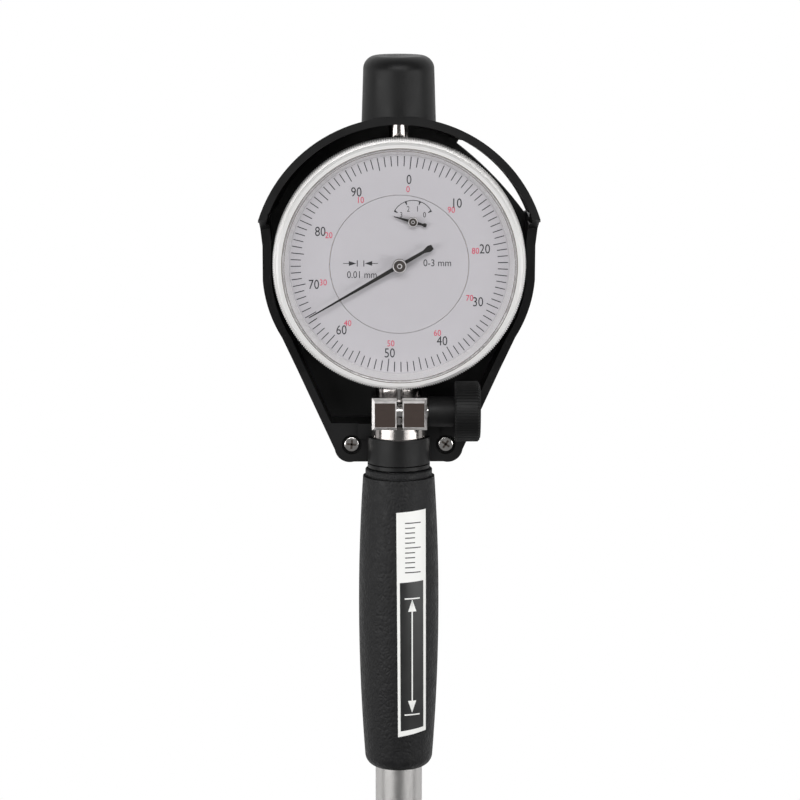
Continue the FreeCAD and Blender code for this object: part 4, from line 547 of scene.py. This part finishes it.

# ---------------------------------------------------------------- lug faces: painted highlights and painted dark reflections

# The two lugs of the clamp sleeve: bevelled edges and a border in brightened chrome as a painted
# highlight, round a brushed face darkened as a painted dark reflection.
LUG_HALF = 6.27
LUG_BEVEL = 0.6
SLIT_HALF = 0.67
LUG_TOP = -30.35
LUG_END = -37.7
LUG_LIFT = 0.012
FACE_FROM_SLIT = 0.3
FACE_FROM_SIDE = 0.02
FACE_FROM_TOP = 1.1
FACE_FROM_END = 0.7
lug_level = mm_box("clamp_sleeve")[1].z + LUG_LIFT
highlight_points, highlight_faces = [], []
lug_painted_reflections = Marks(lug_level)
for side in (-1, 1):
    slit = SLIT_HALF + LUG_LIFT
    # Foot of the bevel, its top edge, then the face with the painted dark reflection: near and far
    # from the slit, top and bottom, level.
    loops = (
        ((slit, LUG_HALF + LUG_LIFT),
         (LUG_TOP + LUG_LIFT, LUG_END - LUG_LIFT), lug_level - LUG_BEVEL),
        ((slit, LUG_HALF - LUG_BEVEL),
         (LUG_TOP - LUG_BEVEL, LUG_END + LUG_BEVEL), lug_level),
        ((slit + FACE_FROM_SLIT, LUG_HALF - LUG_BEVEL - FACE_FROM_SIDE),
         (LUG_TOP - FACE_FROM_TOP, LUG_END + FACE_FROM_END), lug_level),
    )
    first = len(highlight_points)
    for (near, far), (top, bottom), level in loops:
        highlight_points += [(side * near, top, level), (side * far, top, level),
                         (side * far, bottom, level), (side * near, bottom, level)]
    for ring in range(2):
        for corner in range(4):
            a = first + ring * 4 + corner
            b = first + ring * 4 + (corner + 1) % 4
            quad = (a, b, b + 4, a + 4)
            highlight_faces.append(quad if side < 0 else quad[::-1])
    (near, far), (top, bottom), level = loops[2]
    lug_painted_reflections.polygon([Vector((side * near, bottom, 0)), Vector((side * far, bottom, 0)),
                       Vector((side * far, top, 0)), Vector((side * near, top, 0))])
# The bevels and the flat border round each face are brightened chrome, a painted highlight.
piece("lug_highlight_frames", highlight_points, highlight_faces, HIGHLIGHT_CHROME, "gauge")
lug_painted_reflections.build("lug_painted_reflections", LUG_DARK_REFLECTION, "gauge")

# ---------------------------------------------------------------- seams, painted highlights on hub rings, painted shade in screw recesses

MARK_LIFT = 0.012
DIAL_MIDDLE = Vector((0, 0, 0))
SEAM_STEPS = 180
SEAM_RADIUS = 26.66
SEAM_WIDTH = 0.14
SEAM_LEVEL = bezel_high.z + 0.015
CRYSTAL_SEAM_RADIUS = 26.12
CRYSTAL_SEAM_WIDTH = 0.12
CRYSTAL_SEAM_LEVEL = bezel_high.z + 0.24

seam = Marks(SEAM_LEVEL)
seam.arc(DIAL_MIDDLE, SEAM_RADIUS, 0, 360, SEAM_WIDTH, SEAM_STEPS)
seam.build("bezel_seam", SEAM, "bezel_set")
inner_seam = Marks(CRYSTAL_SEAM_LEVEL)
inner_seam.arc(DIAL_MIDDLE, CRYSTAL_SEAM_RADIUS, 0, 360, CRYSTAL_SEAM_WIDTH, SEAM_STEPS)
inner_seam.build("crystal_seam", SEAM, "bezel_set")

# Radius and width of the two painted highlight rings on a hub, as shares of the hub's radius.
HUB_RIM = (0.9, 0.16)
HUB_SPOT = (0.3, 0.14)


def hub_marks(name, node, body):
    """Painted highlights: a bright rim and a small ring about the centre of a hand's hub."""
    low, high = mm_box(node)
    middle = Vector(((low.x + high.x) / 2, (low.y + high.y) / 2, 0))
    radius = (high.x - low.x) / 2
    rim = Marks(high.z + MARK_LIFT)
    rim.arc(middle, radius * HUB_RIM[0], 0, 360, radius * HUB_RIM[1], 40)
    rim.arc(middle, radius * HUB_SPOT[0], 0, 360, radius * HUB_SPOT[1], 24)
    rim.build(name, HIGHLIGHT_CHROME, body)


hub_marks("main_hub_highlight", "main_pointer_hub", "main_hand")
hub_marks("count_hub_highlight", "small_pointer_hub", "count_hand")

screw_low, screw_high = mm_box("guard_screws")
screw_radius = (screw_high.y - screw_low.y) / 2
screw_y = (screw_low.y + screw_high.y) / 2
CROSS_ANGLES = (20, 110)
CROSS_SKEW = 15
CROSS_REACH = screw_radius * 0.6
CROSS_WIDTH = 0.5
# Painted shade: flat dark crosses stand for the shaded cross recesses of the screw heads.
cross_shade = Marks(screw_high.z + MARK_LIFT)
for side in (-1, 1):
    spot = Vector((side * (screw_high.x - screw_radius), screw_y, 0))
    for angle in CROSS_ANGLES:
        arm = clockwise(CROSS_REACH, angle + side * CROSS_SKEW)
        cross_shade.line(spot - arm, spot + arm, CROSS_WIDTH)
cross_shade.build("screw_cross_shade", RECESS_SHADE, "gauge")

# ---------------------------------------------------------------- label on the grip

grip = nodes["handle_grip"]
RAY_START = 50.0
SHEET_LIFT = 0.05
FIELD_LIFT = 0.09
PRINT_ON_LABEL = 0.13


def on_grip(x, y, lift):
    """Point on the front of the grip, lifted a little off it."""
    start = Vector((x * MM, y * MM, RAY_START * MM))
    hit, spot, _, _ = grip.ray_cast(start, Vector((0, 0, -1)))
    height = spot.z / MM if hit else AXIS_Z
    return (x, y, height + lift)


def label_patch(name, corners, lift, columns, rows, material):
    """Sheet stuck to the grip between four corners given as (x, y)."""
    top_left, top_right, bottom_right, bottom_left = [Vector((*c, 0)) for c in corners]
    points, faces = [], []
    for row in range(rows + 1):
        left = top_left.lerp(bottom_left, row / rows)
        right = top_right.lerp(bottom_right, row / rows)
        for column in range(columns + 1):
            spot = left.lerp(right, column / columns)
            points.append(on_grip(spot.x, spot.y, lift))
    for row in range(rows):
        for column in range(columns):
            first = row * (columns + 1) + column
            faces.append((first, first + columns + 1, first + columns + 2, first + 1))
    piece(name, points, faces, material, "gauge", smooth=True)


label_patch("label_sheet", [(-0.73, -57.3), (6.08, -56.8), (6.18, -109.2), (-0.30, -110.3)],
            SHEET_LIFT, 12, 40, LABEL_WHITE)
label_patch("label_field", [(0.1, -73.6), (5.5, -73.3), (5.6, -108.2), (0.32, -108.9)],
            FIELD_LIFT, 10, 30, LABEL_BLACK)

# Plain graduation on the white field.
RULE_START = -59.6
RULE_STEP = 1.15
RULE_LEFT = 1.3
RULE_SHORT = 3.6
RULE_LONG = 4.9
RULE_WIDTH = 0.24
for index in range(11):
    level = RULE_START - RULE_STEP * index
    reach = RULE_LONG if index % 5 == 0 else RULE_SHORT
    label_patch(f"label_tick_{index}",
                [(RULE_LEFT, level), (reach, level),
                 (reach, level - RULE_WIDTH), (RULE_LEFT, level - RULE_WIDTH)],
                PRINT_ON_LABEL, 6, 1, LABEL_BLACK)

# Double-headed arrow between two bars on the black field.
BAR_LEFT = 1.2
BAR_RIGHT = 4.7
BAR_WIDTH = 0.3
TIP_BACK = 0.4
HEAD_BACK = 3.2
label_patch("label_stem", [(2.78, -78.0), (3.08, -78.0), (3.13, -104.0), (2.83, -104.0)],
            PRINT_ON_LABEL, 2, 24, LABEL_WHITE)
for end, way in ((-77.2, -1), (-104.8, 1)):
    label_patch(f"label_bar_{way + 1}",
                [(BAR_LEFT, end), (BAR_RIGHT, end),
                 (BAR_RIGHT, end - BAR_WIDTH), (BAR_LEFT, end - BAR_WIDTH)],
                PRINT_ON_LABEL, 6, 1, LABEL_WHITE)
    label_patch(f"label_head_{way + 1}",
                [(2.93, end + way * TIP_BACK), (2.97, end + way * TIP_BACK),
                 (3.9, end + way * HEAD_BACK), (2.0, end + way * HEAD_BACK)],
                PRINT_ON_LABEL, 3, 6, LABEL_WHITE)

# ---------------------------------------------------------------- room, light and camera


def floor():
    """Large pale plane that the camera sees as plain white."""
    material = bpy.data.materials.new("pale_floor")
    material.use_nodes = True
    tree = material.node_tree
    surface = tree.nodes["Principled BSDF"]
    surface.inputs["Base Color"].default_value = (0.82, 0.82, 0.82, 1.0)
    surface.inputs["Roughness"].default_value = 0.9
    glow = tree.nodes.new("ShaderNodeEmission")
    glow.inputs["Color"].default_value = (1.0, 1.0, 1.0, 1.0)
    glow.inputs["Strength"].default_value = 1.0
    ray = tree.nodes.new("ShaderNodeLightPath")
    mix = tree.nodes.new("ShaderNodeMixShader")
    tree.links.new(ray.outputs["Is Camera Ray"], mix.inputs["Fac"])
    tree.links.new(surface.outputs["BSDF"], mix.inputs[1])
    tree.links.new(glow.outputs["Emission"], mix.inputs[2])
    tree.links.new(mix.outputs["Shader"], tree.nodes["Material Output"].inputs["Surface"])
    mesh = bpy.data.meshes.new("floor")
    reach = 3.0
    corners = [(-reach, -reach, 0), (reach, -reach, 0), (reach, reach, 0), (-reach, reach, 0)]
    mesh.from_pydata(corners, [], [(0, 1, 2, 3)])
    mesh.materials.append(material)
    plane = bpy.data.objects.new("floor", mesh)
    bpy.context.scene.collection.objects.link(plane)


floor()


def soft_light(name, spot, target, size, power):
    """White panel of light at a spot, aimed at a target."""
    data = bpy.data.lights.new(name, "AREA")
    data.shape = "RECTANGLE"
    data.size, data.size_y = size
    data.energy = power
    lamp = bpy.data.objects.new(name, data)
    lamp.location = spot
    lamp.rotation_euler = (Vector(target) - Vector(spot)).to_track_quat("-Z", "Y").to_euler()
    bpy.context.scene.collection.objects.link(lamp)


soft_light("overhead", (0.0, 0.55, 1.0), (0, -0.05, 0), (0.9, 0.3), 7.0)
soft_light("left_panel", (-0.75, -0.1, 0.65), (0, -0.04, 0.01), (0.25, 1.0), 5.6)
soft_light("right_panel", (0.75, -0.1, 0.65), (0, -0.04, 0.01), (0.25, 1.0), 4.8)

world = bpy.data.worlds.new("studio")
world.use_nodes = True
background = world.node_tree.nodes["Background"]
background.inputs["Color"].default_value = (0.9, 0.9, 0.9, 1.0)
background.inputs["Strength"].default_value = 0.2
bpy.context.scene.world = world


def aim_camera():
    """Long lens above the dial, leaning a little towards the top cap."""
    distance = 850.0
    face_height = 8.1
    left = math.radians(1.0)
    raised = math.radians(7.5)
    dial = Vector((0, 0, AXIS_Z + face_height))
    spot = dial + distance * Vector((-math.sin(left) * math.cos(raised), math.sin(raised),
                                     math.cos(left) * math.cos(raised)))
    yaw = math.radians(1.010)
    pitch = math.radians(-9.571)
    forward = Vector((math.sin(yaw) * math.cos(pitch), math.sin(pitch),
                      -math.cos(yaw) * math.cos(pitch)))
    right = forward.cross(Vector((0, 1, 0))).normalized()
    up = right.cross(forward)
    data = bpy.data.cameras.new("camera")
    data.sensor_width = 36.0
    data.lens = 168.62
    data.clip_start = 0.01
    camera = bpy.data.objects.new("camera", data)
    turn = Matrix((right, up, -forward)).transposed().to_4x4()
    camera.matrix_world = Matrix.Translation(spot * MM) @ turn
    bpy.context.scene.collection.objects.link(camera)
    bpy.context.scene.camera = camera


aim_camera()
bpy.context.scene.view_settings.view_transform = "Standard"
